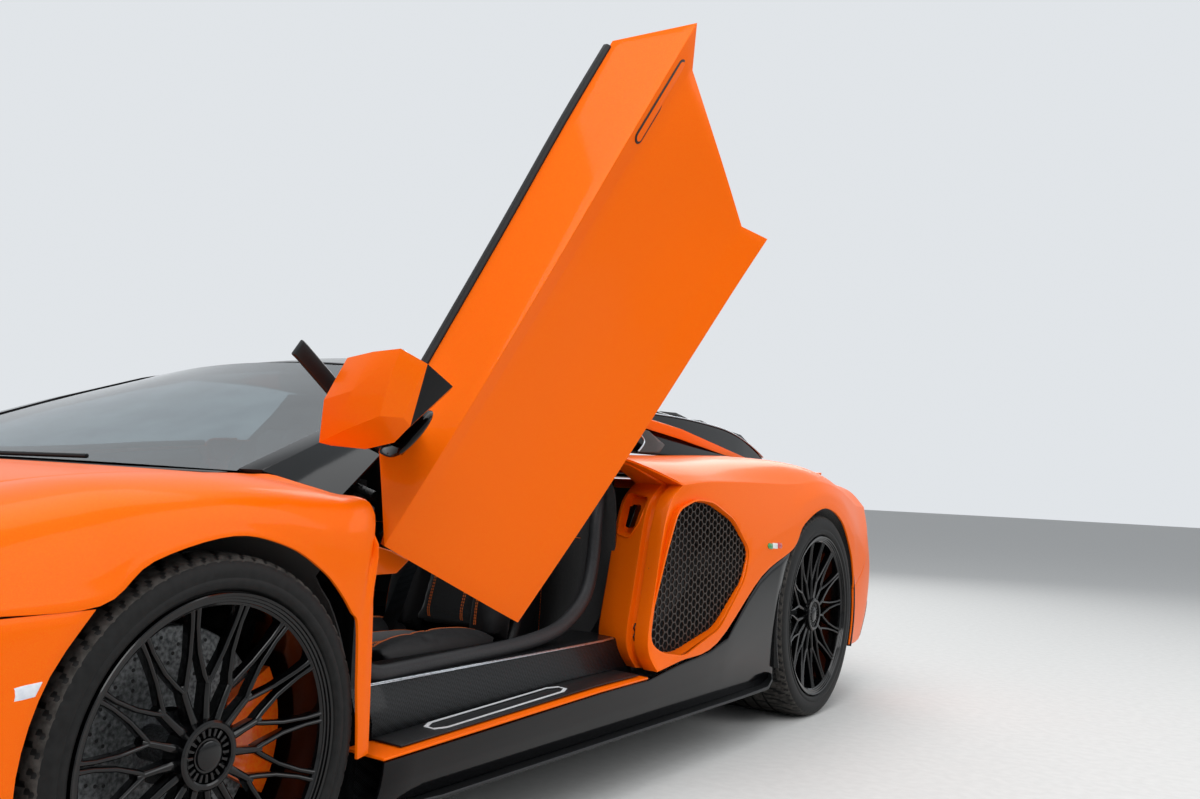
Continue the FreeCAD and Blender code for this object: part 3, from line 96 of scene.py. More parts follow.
def woven(name, thread, low, high, depth, **shader):
    """A 2 x 2 twill: two bands of threads, one over the other, thread in metres. The high colour paints one band's
    checks lighter: painted glint.
    """
    material, tree, surface, where = finish(name, shader)
    slant = (0.6, 0.35, math.radians(45))
    slanted = add_node(tree, "ShaderNodeMapping", {"Rotation": slant}, {"Vector": where}).outputs[0]
    colours = {"Scale": 1 / thread, "Color1": linear(low), "Color2": linear(high)}
    check = add_node(tree, "ShaderNodeTexChecker", colours, {"Vector": slanted})
    tree.links.new(check.outputs["Color"], surface.inputs["Base Color"])
    wave = add_node(tree, "ShaderNodeTexWave", {"Scale": 0.5 / thread, "Distortion": 0.6}, {"Vector": slanted})
    relief(tree, surface, wave.outputs["Fac"], (0.2, 0.42), 0.6, depth)
    return material


def dress(node, material):
    """A CAD node that keeps its shape gets its finish."""
    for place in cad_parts[node].material_slots:
        place.material = material


# Carbon twill under a satin coat: dark checks, every other one painted lighter as a painted glint. The threads are 2
# mm wide and drawn at 5 mm, so that they show.
carbon = woven("carbon_twill_satin_coat", 0.005, "#08090A", "#1C1E20", 0.0004, Specular_IOR_Level=0.12,
    Coat_Weight=0.12, Coat_Roughness=0.12)
dress("tub", carbon)


# --- Frame, arms and hidden floor --------------------------------------------
# The rear frame is welded aluminium tube, the arms are forged aluminium, and
# the flat floor and the arch liners are moulded plastic and felted fibre.

# Blasted aluminium: a dull grey with a fine grit.
blasted_metal = grained("aluminium_blasted", 420, "#7E8184", "#A3A6A8", (0.38, 0.55), 0.0002, Metallic=1.0)
# Polypropylene with a moulded grain: near black, low gloss.
moulded_plastic = grained("polypropylene_moulded_grain", 520, "#121314", "#1E1F20", (0.45, 0.62), 0.0003)
# Needled felt: black with grey fibres, no gloss.
felt = grained("polyester_felt_needled", 900, "#0B0B0C", "#242424", (0.85, 0.98), 0.0008, Sheen_Weight=0.3)
dress("rear_frame", blasted_metal)
dress("suspension", blasted_metal)
dress("underfloor", moulded_plastic)


# --- Body panels: front fenders ----------------------------------------------
# Pressed aluminium and moulded composite panels, sprayed in a pearl orange
# with a glossy clear coat. The front fender bolts to the tub and the bumper.

def only(obj):
    """Nothing but this object is selected, and it is the active one."""
    bpy.ops.object.select_all(action="DESELECT")
    obj.select_set(True)
    bpy.context.view_layer.objects.active = obj


def apply_modifier(obj, kind, **settings):
    only(obj)
    modifier = obj.modifiers.new(kind.lower(), kind)
    for key, value in settings.items():
        setattr(modifier, key, value)
    bpy.ops.object.modifier_apply(modifier=modifier.name)


def edited(obj, *steps):
    """Edit-mode operators run in turn on all of a mesh."""
    only(obj)
    bpy.ops.object.mode_set(mode="EDIT")
    bpy.ops.mesh.select_all(action="SELECT")
    for operator, settings in steps:
        operator(**settings)
    bpy.ops.object.mode_set(mode="OBJECT")


def smoothed(rows, steps, sharp=()):
    """A table's rows with finer ones between, on a curve that breaks at the sharp ones."""
    last = len(rows) - 1
    fine = []
    for i in range(last):
        a, b, c, d = rows[max(i - 1, 0)], rows[i], rows[i + 1], rows[min(i + 2, last)]
        a = b if i in sharp else a
        d = c if i + 1 in sharp else d
        for k in range(steps):
            s = k / steps
            fine.append([tuple(0.5 * (2 * q + (r - p) * s + (2 * p - 5 * q + 4 * r - t) * s ** 2
                + (3 * q - p - 3 * r + t) * s ** 3) for p, q, r, t in zip(*four))
                for four in zip(a, b, c, d)])
    fine.append([tuple(point) for point in rows[-1]])
    return fine


def turned(rows):
    return [list(column) for column in zip(*rows)]


def grid(rows, between_rows, between_points, sharp_rows=(), sharp_lines=()):
    """A table made finer both ways: from row to row, then along each row."""
    return turned(smoothed(turned(smoothed(rows, between_rows, sharp_rows)), between_points, sharp_lines))


def added(name, operator, **settings):
    """One of Blender's own shapes as a new mesh."""
    bpy.ops.object.select_all(action="DESELECT")
    operator(**settings)
    obj = bpy.context.object
    obj.name = obj.data.name = name
    return obj


def surface(name, rows):
    """A grid laid through a table of points in millimetres."""
    obj = added(name, bpy.ops.mesh.primitive_grid_add, size=1,
        x_subdivisions=len(rows[0]) - 1, y_subdivisions=len(rows) - 1)
    for vertex, point in zip(obj.data.vertices, (point for row in rows for point in row)):
        vertex.co = Vector(point) / 1000
    obj.data.update()
    return obj


def panel(name, rows, wall, outward, depth=0.0):
    """A sheet panel: its outer face on the table, its wall to the inside."""
    obj = surface(name, rows)
    total = sum((face.normal * face.area for face in obj.data.polygons), Vector())
    if total.dot(Vector(outward)) < 0:
        edited(obj, (bpy.ops.mesh.flip_normals, {}))
    if depth:
        edited(obj, (bpy.ops.transform.shrink_fatten, {"value": -depth}))
    apply_modifier(obj, "SOLIDIFY", thickness=wall, offset=-1.0)
    return obj


def shaded(obj, material, width=0.0015, angle=32, segments=2):
    """Edges rounded, then smooth shading that stops at folds."""
    if width:
        apply_modifier(obj, "BEVEL", width=width, segments=segments, limit_method="ANGLE",
            angle_limit=math.radians(angle), harden_normals=False)
    only(obj)
    bpy.ops.object.shade_smooth_by_angle(angle=math.radians(angle))
    obj.data.materials.clear()
    obj.data.materials.append(material)
    return obj


def placed(obj, slot, *nodes, body="chassis"):
    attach(obj, body)
    if nodes:
        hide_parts(*nodes)
    return obj


def linked(obj):
    bpy.context.scene.collection.objects.link(obj)
    return obj


def other_side(obj, name):
    """The right-hand piece, with its own mesh."""
    twin = obj.copy()
    twin.data = obj.data.copy()
    twin.name = twin.data.name = name
    linked(twin)
    twin.parent = None
    twin.matrix_world = Matrix.Identity(4)
    for vertex in twin.data.vertices:
        vertex.co.x = -vertex.co.x
    edited(twin, (bpy.ops.mesh.flip_normals, {}))
    return twin


def both_sides(obj, slot, node="", body="chassis", shared=()):
    """The left piece and its mirror image. They replace a node each, or the
    left one replaces the node that both share."""
    twin = other_side(obj, obj.name[:-len("_left")] + "_right")
    placed(obj, slot, *([node + "_left"] if node else shared), body=body.replace("SIDE", "left"))
    placed(twin, slot, *([node + "_right"] if node else []), body=body.replace("SIDE", "right"))
    return twin


def joined(name, objects):
    bpy.ops.object.select_all(action="DESELECT")
    for obj in objects:
        obj.select_set(True)
    bpy.context.view_layer.objects.active = objects[0]
    bpy.ops.object.join()
    objects[0].name = objects[0].data.name = name
    return objects[0]


# Pearl paint: fine mica flakes under a clear coat give the orange a lighter grain and a golden edge; the grain is
# drawn, the golden edge is not. The 0.05 mm flakes are drawn 1 mm wide.
pearl_orange = grained("pearl_orange_lacquer_sprayed", 1100, "#FF6200", "#FF7606", (0.3, 0.42), 0.00006, detail=2.0,
    Metallic=0.1, Specular_IOR_Level=0.05, Coat_Weight=0.14, Coat_Roughness=0.05)

a_y, r_y = -1323.5, 1376.5  # the front and the rear axle
front_hub_z, rear_hub_z = 330.0, 355.0
front_opening, rear_opening = 360, 380  # radius of the body's wheel openings
hip = 990.0


def from_axle(axle_y, rows):
    """A table whose lengths are counted from an axle."""
    return [[(x, axle_y + y, z) for x, y, z in row] for row in rows]


def arch_lip(y):
    return (hip, y, front_hub_z + math.sqrt(front_opening ** 2 - y ** 2))


fender_rows = from_axle(a_y, [
    [(520, -727, 600), (640, -732, 640), (905, -732, 625), (949, -732, 579)],
    [(560, -577, 650), (790, -577, 690), (930, -577, 670), (974, -577, 585)],
    [(600, -427, 700), (815, -427, 735), (942, -427, 700), (984, -427, 589)],
    [(630, -277, 742), (835, -277, 765), (955, -267, 722), arch_lip(-246)],
    [(648, -157, 765), (845, -157, 780), (962, -157, 745), arch_lip(-157)],
    [(662, 0, 780), (850, 0, 787), (966, 0, 757), arch_lip(0)],
    [(672, 123, 785), (855, 123, 784), (969, 123, 752), arch_lip(123)],
    [(680, 223, 787), (865, 223, 776), (973, 213, 740), arch_lip(208)],
    [(700, 283, 787), (880, 293, 762), (976, 283, 731), arch_lip(255)],
    [(780, 314, 779), (900, 335, 748), (980, 348, 722), arch_lip(290)],
    [(980, 341, 690), (984, 341, 650), (987, 330, 600), arch_lip(308)],
    [(985, 351, 560), (987, 345, 525), (989, 335, 480), (hip, 316, 400)],
    [(986, 357, 400), (987, 350, 385), (989, 338, 360), (hip, 323, 330)],
    [(986, 361, 275), (987, 353, 273), (989, 342, 272), (hip, 327, 270)],
])
panel_wall = 0.006
fender = panel("front_fender_skin_left", grid(fender_rows, 5, 6), panel_wall, (1, 0, 1))
shaded(fender, pearl_orange)
both_sides(fender, "paint", "front_fender")

# Felt liners close the wheel arches up to the panels' lips.
liners = []
for axle_y, hub_z, radius, near, full in ((a_y, front_hub_z, 394, 560, 970), (r_y, rear_hub_z, 388, 425, 1006)):
    ring = []
    for k in range(25):
        angle = math.radians(-22 + 224 * k / 24)
        far = 895 if axle_y < 0 and math.cos(angle) > 0.69 else full
        ring.append([(x, axle_y + (radius + bulge) * math.cos(angle), hub_z + (radius + bulge) * math.sin(angle))
            for x, bulge in ((near, 0), (near + 60, 5), (far - 90, 5), (far, 0))])
    liners.append(panel("liner", smoothed(ring, 2), 0.003, (0, 0, -1)))
both_sides(shaded(joined("arch_liner_skins_left", liners), felt, 0), "trim", shared=["arch_liners"])


# --- Bonnet -------------------------------------------------------------------
# A stamped lid between the fenders, hinged at the windscreen. Two long creases
# run from the nose to the screen.
bonnet_rows = []
for y, edge_x, edge_z, rise in [(-985, 300, 470, 6), (-877, 400, 535, 10), (-727, 516, 600, 14), (-577, 556, 650, 16),
        (-427, 596, 700, 16), (-277, 626, 742, 12), (-157, 644, 764, 6), (0, 658, 780, 4),
        (123, 668, 784, 4), (215, 672, 786, 4)]:
    bonnet_rows.append([(edge_x * s, a_y + y, edge_z + rise * (1 - s ** 2))
        for s in (-1, -0.66, -0.33, 0, 0.33, 0.66, 1)])
bonnet = panel("bonnet_skin", grid(bonnet_rows, 4, 5, sharp_lines=(1, 5)), panel_wall, (0, 0, 1))
shaded(bonnet, pearl_orange)
placed(bonnet, "paint", "bonnet", body="bonnet")


# --- Front bumper, splitter and grilles ----------------------------------------
# A moulded bumper with two side intakes and a middle one, on a satin black
# blade. The intakes hold a half-gloss black hexagon grille.

def outline_solid(name, points, push):
    """A closed outline in millimetres, pushed along a vector."""
    obj = added(name, bpy.ops.mesh.primitive_circle_add, vertices=len(points), radius=1, fill_type="NGON")
    for vertex, point in zip(obj.data.vertices, points):
        vertex.co = Vector(point) / 1000
    edited(obj, (bpy.ops.mesh.extrude_region_move, {"TRANSFORM_OT_translate": {"value": Vector(push) / 1000}}),
        (bpy.ops.mesh.select_all, {"action": "SELECT"}), (bpy.ops.mesh.normals_make_consistent, {"inside": False}))
    return obj


def cut_away(obj, cutters):
    for cutter in cutters:
        apply_modifier(obj, "BOOLEAN", operation="DIFFERENCE", solver="EXACT", object=cutter)
    for cutter in cutters:
        bpy.data.objects.remove(cutter)


def arc_y(radius, hub_z, z):
    """How far from the axle a wheel opening's edge is at a height."""
    return math.sqrt(radius ** 2 - (z - hub_z) ** 2)


def whole(half_rows):
    """A half table with its mirror image."""
    return half_rows + [[(-x, y, z) for x, y, z in row] for row in half_rows[:-1]][::-1]


nose = -2398.5
chin = 137.0
tip = nose - a_y
bumper_rows = from_axle(a_y, [
    [(hip - 2, -arc_y(front_opening, front_hub_z, z), z) for z in (588, 500, 400, 300, 190)],
    [(982, -430, 584), (985, -450, 500), (986, -470, 400), (982, -475, 300), (975, -455, 185)],
    [(966, -610, 580), (968, -650, 490), (965, -690, 400), (958, -690, 300), (945, -670, 165)],
    [(935, -740, 572), (925, -800, 480), (905, -850, 400), (895, -850, 300), (885, -830, chin)],
    [(660, -822, 545), (720, -920, 460), (730, -960, 390), (735, -950, 300), (740, -930, chin)],
    [(430, -990, 488), (450, -1010, 430), (460, -1035, 370), (460, -1025, 280), (460, -1000, chin)],
    [(0, -1014, 460), (0, tip + 4, 400), (0, tip + 7, 340), (0, tip + 17, 270), (0, tip + 30, chin)],
])
bumper = panel("front_bumper_skin", grid(whole(bumper_rows), 4, 3, sharp_rows=(2, 6, 10)), panel_wall, (0, -1, 0))
side_intake = [(380, 215), (640, 195), (850, 235), (868, 400), (720, 380), (470, 330)]
middle_intake = [(-300, 175), (300, 175), (250, 290), (-250, 290)]
blade_bed = [(-1000, -2450), (1000, -2450), (1000, -1823), (-1000, -1823)]
openings = [outline_solid("cutter", [(hand * x, nose - 50, z) for x, z in side_intake], (0, 1000, 0))
    for hand in (1, -1)]
openings.append(outline_solid("cutter", [(x, nose - 50, z) for x, z in middle_intake], (0, 300, 0)))
openings.append(outline_solid("cutter", [(x, y, 100) for x, y in blade_bed], (0, 0, 40)))
cut_away(bumper, openings)
shaded(bumper, pearl_orange)
placed(bumper, "paint", "front_bumper")
# A clear side marker lies in the bumper's side, ahead of the wheel.
marker_clear = grained("polycarbonate_marker_frosted", 120, "#DCE3EC", "#EEF2F8", (0.1, 0.2), 0.0001, Coat_Weight=0.3)
marker_edge = [(989.5, -1652, 494), (987.5, -1700, 491), (986.5, -1745, 486), (986, -1748, 464), (989, -1662, 474)]
marker = outline_solid("side_marker_left", marker_edge, (-9, 0, 0))
both_sides(shaded(marker, marker_clear, 0.0015), "lamp")


def cad_copy(name, node):
    """The shape of a CAD node as a mesh of its own, with its triangles merged."""
    obj = linked(bpy.data.objects.new(name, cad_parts[node].data.copy()))
    edited(obj, (bpy.ops.mesh.remove_doubles, {"threshold": 0.00002}),
        (bpy.ops.mesh.dissolve_limited, {"angle_limit": math.radians(0.6)}))
    obj.data.materials.clear()
    return obj


# ABS with a satin texture: black, half gloss, with a leather-like grain.
satin_black = grained("abs_satin_black_textured", 700, "#0D0E0F", "#17181A", (0.32, 0.46), 0.00025,
    Specular_IOR_Level=0.3)
# Gloss black lacquer: deep and wet, with a faint orange peel.
gloss_black = grained("black_lacquer_polished", 140, "#060607", "#0C0C0E", (0.08, 0.16), 0.00005,
    Specular_IOR_Level=0.18, Coat_Weight=0.06, Coat_Roughness=0.02)
splitter = shaded(cad_copy("splitter_blade", "splitter"), satin_black, 0.004)
placed(splitter, "black_satin", "splitter")
# Injection moulded grille: dark brown-black, half gloss.
grille_black = grained("abs_grille_half_gloss", 600, "#2A211C", "#3C2F27", (0.3, 0.42), 0.0001,
    Specular_IOR_Level=0.4)


def from_points(name, points, edges, faces):
    mesh = bpy.data.meshes.new(name)
    mesh.from_pydata(points, edges, faces)
    return linked(bpy.data.objects.new(name, mesh))


def honeycomb(name, outline, place, pitch, bar, depth):
    """Hexagon grille: cells inside an outline given in its own plane, each cell a
    ring of thin walls. place turns (u, v, w) in millimetres into the row frame."""
    radius = pitch / math.sqrt(3)
    us, vs = [u for u, v in outline], [v for u, v in outline]

    def inside(u, v):
        hit = False
        for (u1, v1), (u2, v2) in zip(outline, outline[1:] + outline[:1]):
            if (v1 > v) != (v2 > v) and u < (u2 - u1) * (v - v1) / (v2 - v1) + u1:
                hit = not hit
        return hit

    points, faces = [], []
    column = 0
    u = min(us) - radius
    while u < max(us) + radius:
        v = min(vs) - pitch + (pitch / 2 if column % 2 else 0)
        while v < max(vs) + pitch:
            if inside(u, v):
                start = len(points)
                for r, w in ((radius, 0), (radius - bar, 0), (radius - bar, depth), (radius, depth)):
                    for k in range(6):
                        angle = math.radians(60 * k)
                        points.append(place(u + r * math.cos(angle), v + r * math.sin(angle), w))
                for k in range(6):
                    n = (k + 1) % 6
                    for lower, upper in ((0, 6), (6, 12), (12, 18)):
                        faces.append((start + lower + k, start + lower + n, start + upper + n, start + upper + k))
            v += pitch
        u += radius * 1.5
        column += 1
    obj = from_points(name, [Vector(p) / 1000 for p in points], [], faces)
    edited(obj, (bpy.ops.mesh.normals_make_consistent, {"inside": False}))
    obj.data.materials.append(grille_black)
    return obj


mesh_y = a_y - 760
front_outline = [(402, 142), (838, 142), (848, 408), (720, 393), (470, 343)]
front_grille = honeycomb("front_grille_left", front_outline, lambda u, v, w: (u, mesh_y + w, v), pitch=26, bar=2.2,
    depth=6)
both_sides(front_grille, "mesh", shared=["front_grilles"])


# --- Headlamps -----------------------------------------------------------------
# A clear polycarbonate lens over a black housing; the lamp's two lit bars in a Y are not drawn.
# Moulded, and clipped between the fender, the bonnet and the bumper.
lens_clear = grained("polycarbonate_lens_clear", 60, "#C9D6E6", "#E6EEF8", (0.02, 0.06), 0.00002,
    Transmission_Weight=0.9, IOR=1.58, Coat_Weight=0.5)
lamp_rows = from_axle(a_y, [
    [(528, -739, 602), (645, -742, 636), (890, -742, 620), (930, -740, 592)],
    [(412, -885, 535), (570, -850, 575), (790, -800, 590), (925, -750, 583)],
    [(318, -995.5, 481.5), (432, -989, 489), (661, -821.5, 546), (915, -745.5, 571)],
])
lens = shaded(panel("headlamp_lens_left", grid(lamp_rows, 5, 5), 0.004, (0, -1, 1)), lens_clear, 0)
housing = shaded(panel("headlamp_housing_left", grid(lamp_rows, 2, 2), 0.003, (0, -1, 1), 0.014), gloss_black, 0)
both_sides(lens, "lamp", shared=["headlamps"])
both_sides(housing, "lamp")


# --- Cowl, glass, pillars and roof ----------------------------------------------
# A laminated windscreen in gloss black pillars, with a satin plastic cowl and
# one wiper below it. The roof is a gloss black composite skin.
cowl = shaded(cad_copy("cowl_and_wiper", "cowl"), satin_black, 0.001)
placed(cowl, "black_satin", "cowl")

# Laminated glass with a faint green tint: it mirrors at a flat angle.
tinted_glass = grained("laminated_glass_float", 8, "#5E7078", "#6C7F86", (0.0, 0.01), 0.00001,
    Transmission_Weight=1.0, IOR=1.5, Specular_IOR_Level=0.3)
screen_rows = []
for y, bow, z, rise, half in [(-1045, 12, 792, 4, 673.3), (-800, 20, 880, 18, 647.3),
        (-560, 20, 966, 32, 607.3), (-330, 15, 1042, 45, 552.3)]:
    screen_rows.append([(half * s, y - bow * (1 - s ** 2), z + rise * (1 - s ** 2)) for s in (-1, -0.5, 0, 0.5, 1)])
glass_wall = 0.005
screen = shaded(panel("windscreen", grid(screen_rows, 6, 6), glass_wall, (0, -1, 1)), tinted_glass, 0)
placed(screen, "glass", "glazing")
quarter_light_rows = [[(716.8, -1018, 794), (900, -985, 754)], [(707, -800, 880), (842, -815, 838)]]
# The quarter windows are opaque black glass that show no inside: their black is painted shade for the dark cabin
# behind them.
black_glass_painted_shade = grained("glass_black_printed", 8, "#07090B", "#0E1214", (0.02, 0.05), 0.00001, IOR=1.5,
    Specular_IOR_Level=0.08)
quarter_light = panel("quarter_light_left", grid(quarter_light_rows, 3, 3), glass_wall, (1, 0, 1))
both_sides(shaded(quarter_light, black_glass_painted_shade, 0), "glass")

pillars = shaded(cad_copy("pillars_and_header", "screen_frame"), gloss_black, 0.004, 40, 3)
placed(pillars, "black_gloss", "screen_frame")
roof_rows = []
for y, z, rise, half in [(-281.7, 1056, 40, 560), (-60, 1068, 62, 566), (160, 1068, 68, 562), (400, 1050, 60, 545)]:
    roof_rows.append([(half * s, y, z + rise * (1 - s ** 2)) for s in (-1, -0.6, 0, 0.6, 1)])
roof = shaded(panel("roof_skin", grid(roof_rows, 6, 6), 0.012, (0, 0, 1)), gloss_black, 0.003)
placed(roof, "black_gloss", "roof")


# --- Rear quarters, intakes and their grilles ------------------------------------
# The widest panel of the body, moulded in one with the large intake behind the
# door. A hexagon grille stands in the intake, and the door shuts on the jamb.
side = 1015.0


def rear_lip(y, x=side):
    return (x, y, rear_hub_z + math.sqrt(rear_opening ** 2 - y ** 2))


quarter_rows = [
    [(690, 150, 872), (853, 192, 862), (981, 311, 798), (971, 243, 727), (985, 162, 520), (1001, 104, 372),
        (1020, 128, 302)],
    [(700, 420, 880), (885, 450, 862), (985, 470, 812), (992, 420, 712), (996, 350, 520), (1006, 280, 385),
        (1012, 280, 314)],
    [(705, 680, 888), (893, 690, 872), (988, 690, 815), (1000, 640, 712), (1006, 600, 530), (1008, 540, 420),
        (1010, 520, 340)],
    [(705, 880, 896), (898, 880, 880), (990, 880, 815), (1005, 860, 720), (1012, 850, 630), (1012, 840, 580),
        (1012, 830, 520)],
] + from_axle(r_y, [
    [(703, -306, 902), (902, -306, 886), (992, -311, 815), (1008, -314, 740), (1014, -312, 690), (1015, -305, 640),
        rear_lip(-290)],
    [(702, -156, 905), (903, -156, 888), (992, -166, 820), (1010, -176, 765), (1014, -186, 730), (1015, -191, 705),
        rear_lip(-196)],
    [(705, 24, 900), (900, 24, 882), (990, 14, 828), (1010, 6, 790), (1014, 3, 765), (1015, 1, 750), rear_lip(0)],
    [(715, 244, 885), (890, 234, 862), (982, 214, 808), (1005, 202, 765), (1012, 194, 728), (1014, 189, 708),
        rear_lip(184)],
    [(730, 424, 868), (872, 414, 838), (968, 394, 770), (995, 369, 695), (1005, 349, 640), (1008, 332, 605),
        rear_lip(314, 1010)],
    [(740, 574, 850), (858, 564, 815), (950, 539, 740), (982, 494, 640), (995, 444, 560), (1002, 404, 515),
        rear_lip(363, 1007)],
    [(745, 744, 832), (850, 734, 798), (925, 704, 735), (962, 644, 640), (982, 574, 550), (992, 504, 490),
        rear_lip(373, 1003)],
])
# The jamb steps in from the panel's front edge: a roll, a water groove and a flat wall.
jamb_steps = [(-186, 56), (-128, 34), (-74, 14), (-66, 26), (-52, 26), (-44, 6), (-16, 1)]
jamb_share = [0.16, 0.45, 1, 1, 1, 1, 1]
jamb_rows = [[(x + dx * share, y + dy * share, z) for (x, y, z), share in zip(quarter_rows[0], jamb_share)]
    for dx, dy in jamb_steps]
quarter_table = grid(jamb_rows + quarter_rows, 5, 6, sharp_rows=(2, 3, 4, 5, 7), sharp_lines=(2,))
quarter = panel("rear_quarter_skin_left", quarter_table, panel_wall, (1, 0, 0.5))
intake = [(118, 378), (172, 346), (310, 324), (540, 380), (705, 514), (738, 604), (625, 698), (480, 750), (375, 757),
    (270, 728), (216, 620), (162, 490)]


def welded(obj, reach=0.0001, inside=False):
    """Points that lie together merged, and all faces turned one way."""
    edited(obj, (bpy.ops.mesh.remove_doubles, {"threshold": reach}),
        (bpy.ops.mesh.normals_make_consistent, {"inside": inside}))


def sheet(name, rows, wall, offset=0.0, closed=False):
    """A thin sheet on a table, grown from it to one side or both. A closed one has its seam merged."""
    obj = surface(name, rows)
    if closed:
        edited(obj, (bpy.ops.mesh.remove_doubles, {"threshold": 0.0001}))
    apply_modifier(obj, "SOLIDIFY", thickness=wall, offset=offset)
    return obj


def rounded(outline, cut, steps=4):
    """An outline in the plane with its corners cut back and rounded."""
    points = []
    for i, (u, v) in enumerate(outline):
        ends = []
        for other in (outline[i - 1], outline[(i + 1) % len(outline)]):
            away = Vector(other) - Vector((u, v))
            ends.append(Vector((u, v)) + away * min(0.45, cut / away.length))
        for k in range(steps + 1):
            s = k / steps
            points.append(tuple(ends[0] * (1 - s) ** 2 + Vector((u, v)) * 2 * s * (1 - s) + ends[1] * s ** 2))
    return points


intake_corner = 34
intake_front, intake_middle = 118, (525, 540)
intake_edge = rounded(intake, intake_corner)
pocket_corners = [(888, 760), (796, 770), (798, 650), (854, 642), (884, 690)]
jamb_front = [(372, 104), (520, 162), (727, 243), (798, 311)]
jamb_wall_x, jamb_wall_y, jamb_slope = 902, 14, 0.375


def on_jamb(x, z, back):
    """A point of the jamb's flat wall, moved back from it."""
    for (z0, y0), (z1, y1) in zip(jamb_front, jamb_front[1:]):
        if z <= z1:
            break
    return (x, y0 + (y1 - y0) * (z - z0) / (z1 - z0) + jamb_wall_y + (jamb_wall_x - x) * jamb_slope + back, z)


cut_away(quarter, [outline_solid("cutter", [(962, y, z) for y, z in intake_edge], (90, 0, 0)),
    outline_solid("cutter", [on_jamb(x, z, -60) for x, z in rounded(pocket_corners, 16)], (0, 110, 0))])
shaded(quarter, pearl_orange, 0.0015, 28, 2)
both_sides(quarter, "paint", "rear_quarter")

# The intake's lip turns in to the grille, deep at the front and flush at the back.
duct_wall = 0.005
duct_rows = []
for share, tuck in ((0, -0.004), (0.25, 0.006), (0.65, 0.012), (1, 0.014)):
    duct_rows.append([(990 + (y - intake_front) * 0.027 - (44 - (y - intake_front) * 0.058) * share,
        y + (intake_middle[0] - y) * tuck, z + (intake_middle[1] - z) * tuck)
        for y, z in intake_edge + intake_edge[:1]])
duct = surface("intake_duct_left", duct_rows)
welded(duct, inside=True)
apply_modifier(duct, "SOLIDIFY", thickness=duct_wall, offset=-1.0)
both_sides(shaded(duct, pearl_orange, 0), "paint")
intake_grille = honeycomb("intake_grille_left", intake_edge,
    lambda u, v, w: (945 + (u - intake_front) * 0.083 + w, u, v), pitch=24, bar=2.0, depth=4)
both_sides(intake_grille, "mesh", shared=["intake_meshes"])
# Behind the grille the duct is lined with black plastic, folded once.
liner_rows = []
for x, tuck in ((948, 0.01), (900, 0.05), (850, 0.22), (835, 0.6), (834, 0.97)):
    edge = rounded([(u + (intake_middle[0] - u) * tuck, v + (intake_middle[1] - v) * tuck) for u, v in intake],
        intake_corner * (1 - tuck))
    liner_rows.append([(x + (y - intake_front) * 0.07 * (x > 940), max(y, 150 + (z - 372) * 0.36), z)
        for y, z in edge + edge[:1]])
liner = sheet("intake_liner_left", liner_rows, 0.003, 1.0, closed=True)
both_sides(shaded(liner, moulded_plastic, 0), "black_satin")

# The lock's pocket in the jamb, with its rounded striker.
pocket_edge = rounded(pocket_corners, 16)
centre_x, centre_z = (sum(values) / len(pocket_edge) for values in zip(*pocket_edge))
pocket_rows = []
for tuck, back in ((-0.03, -5), (0.02, 4), (0.12, 24), (0.2, 27), (0.98, 27)):
    pocket_rows.append([on_jamb(x + (centre_x - x) * tuck, z + (centre_z - z) * tuck, back)
        for x, z in pocket_edge + pocket_edge[:1]])
pocket = sheet("lock_pocket_left", pocket_rows, 0.003, 1.0, closed=True)
both_sides(shaded(pocket, pearl_orange, 0), "paint")
striker_edge = rounded([(826, 672), (846, 670), (854, 735), (834, 738)], 9)
striker = outline_solid("lock_striker_left", [on_jamb(x, z, -6) for x, z in striker_edge], (0, 32, 0))
shaded(striker, gloss_black, 0.004, 30, 3)
both_sides(striker, "black_gloss")

# The small enamelled tricolour pill behind the intake: a plain mark of three bands.
band_length = 41
pill_colours = [("green", "#0C8A3A", "#12984A"), ("white", "#E2E4E2", "#F0F0EE"), ("red", "#C41E22", "#D22A2C")]
enamels = [grained("enamel_%s_fired" % name, 300, dark, light, (0.15, 0.25), 0.00002, Coat_Weight=0.5)
    for name, dark, light in pill_colours]
for band, material in enumerate(enamels):
    y0 = 864 + band * band_length
    y1 = y0 + band_length
    start, end = y0 + (9 if band == 0 else 0), y1 - (9 if band == 2 else 0)
    corners = [(start, 606), (end, 603), (y1, 611), (end, 621), (start, 624), (y0, 615)]
    mark = outline_solid("pill_band_%d_left" % band, [(1012.5, y, z) for y, z in corners], (2.5, 0, 0))
    both_sides(shaded(mark, material, 0.0008), "paint")


# --- Sill strips, tread covers, skirts and side blades -----------------------------
# An orange strip under the door, a tread cover over the carbon sill, a gloss
# black skirt, and a satin black blade along its foot, all screwed to the tub.
rockers = shaded(cad_copy("sill_strips", "rockers"), pearl_orange, 0.002)
placed(rockers, "paint", "rockers")
sill_line = [(a_y + 384, 276), (a_y + 766, 286), (a_y + 1188, 299), (106, 301)]

# The cover is laid over the sill in two pieces: a flat tread and a folded inner one.
tread_line = [(-868, 277), (-640, 284), (-400, 291), (-150, 299)]
tread_rows = [[(909.5, y, z - 1.5), (935, y, z - 2), (986, y, z - 4.5)] for y, z in tread_line + [(88, 300)]]
cover_wall = 0.0035
tread = shaded(panel("sill_tread_left", smoothed(tread_rows, 3), cover_wall, (0, 0, 1)), satin_black, 0.0008)
both_sides(tread, "black_satin")
fold_rows = [[(909.5, y, z - 3), (909.5, y, 303), (886, y, 372), (882, y, 376.3), (868, y, 377), (704, y, 376.3)]
    for y, z in tread_line + [(180, 300)]]
fold = shaded(panel("sill_cover_left", grid(fold_rows, 3, 2, sharp_lines=(1, 2, 3, 4)), cover_wall, (1, 0, 1)),
    carbon, 0.001)
both_sides(fold, "trim", shared=["aperture_trims"])


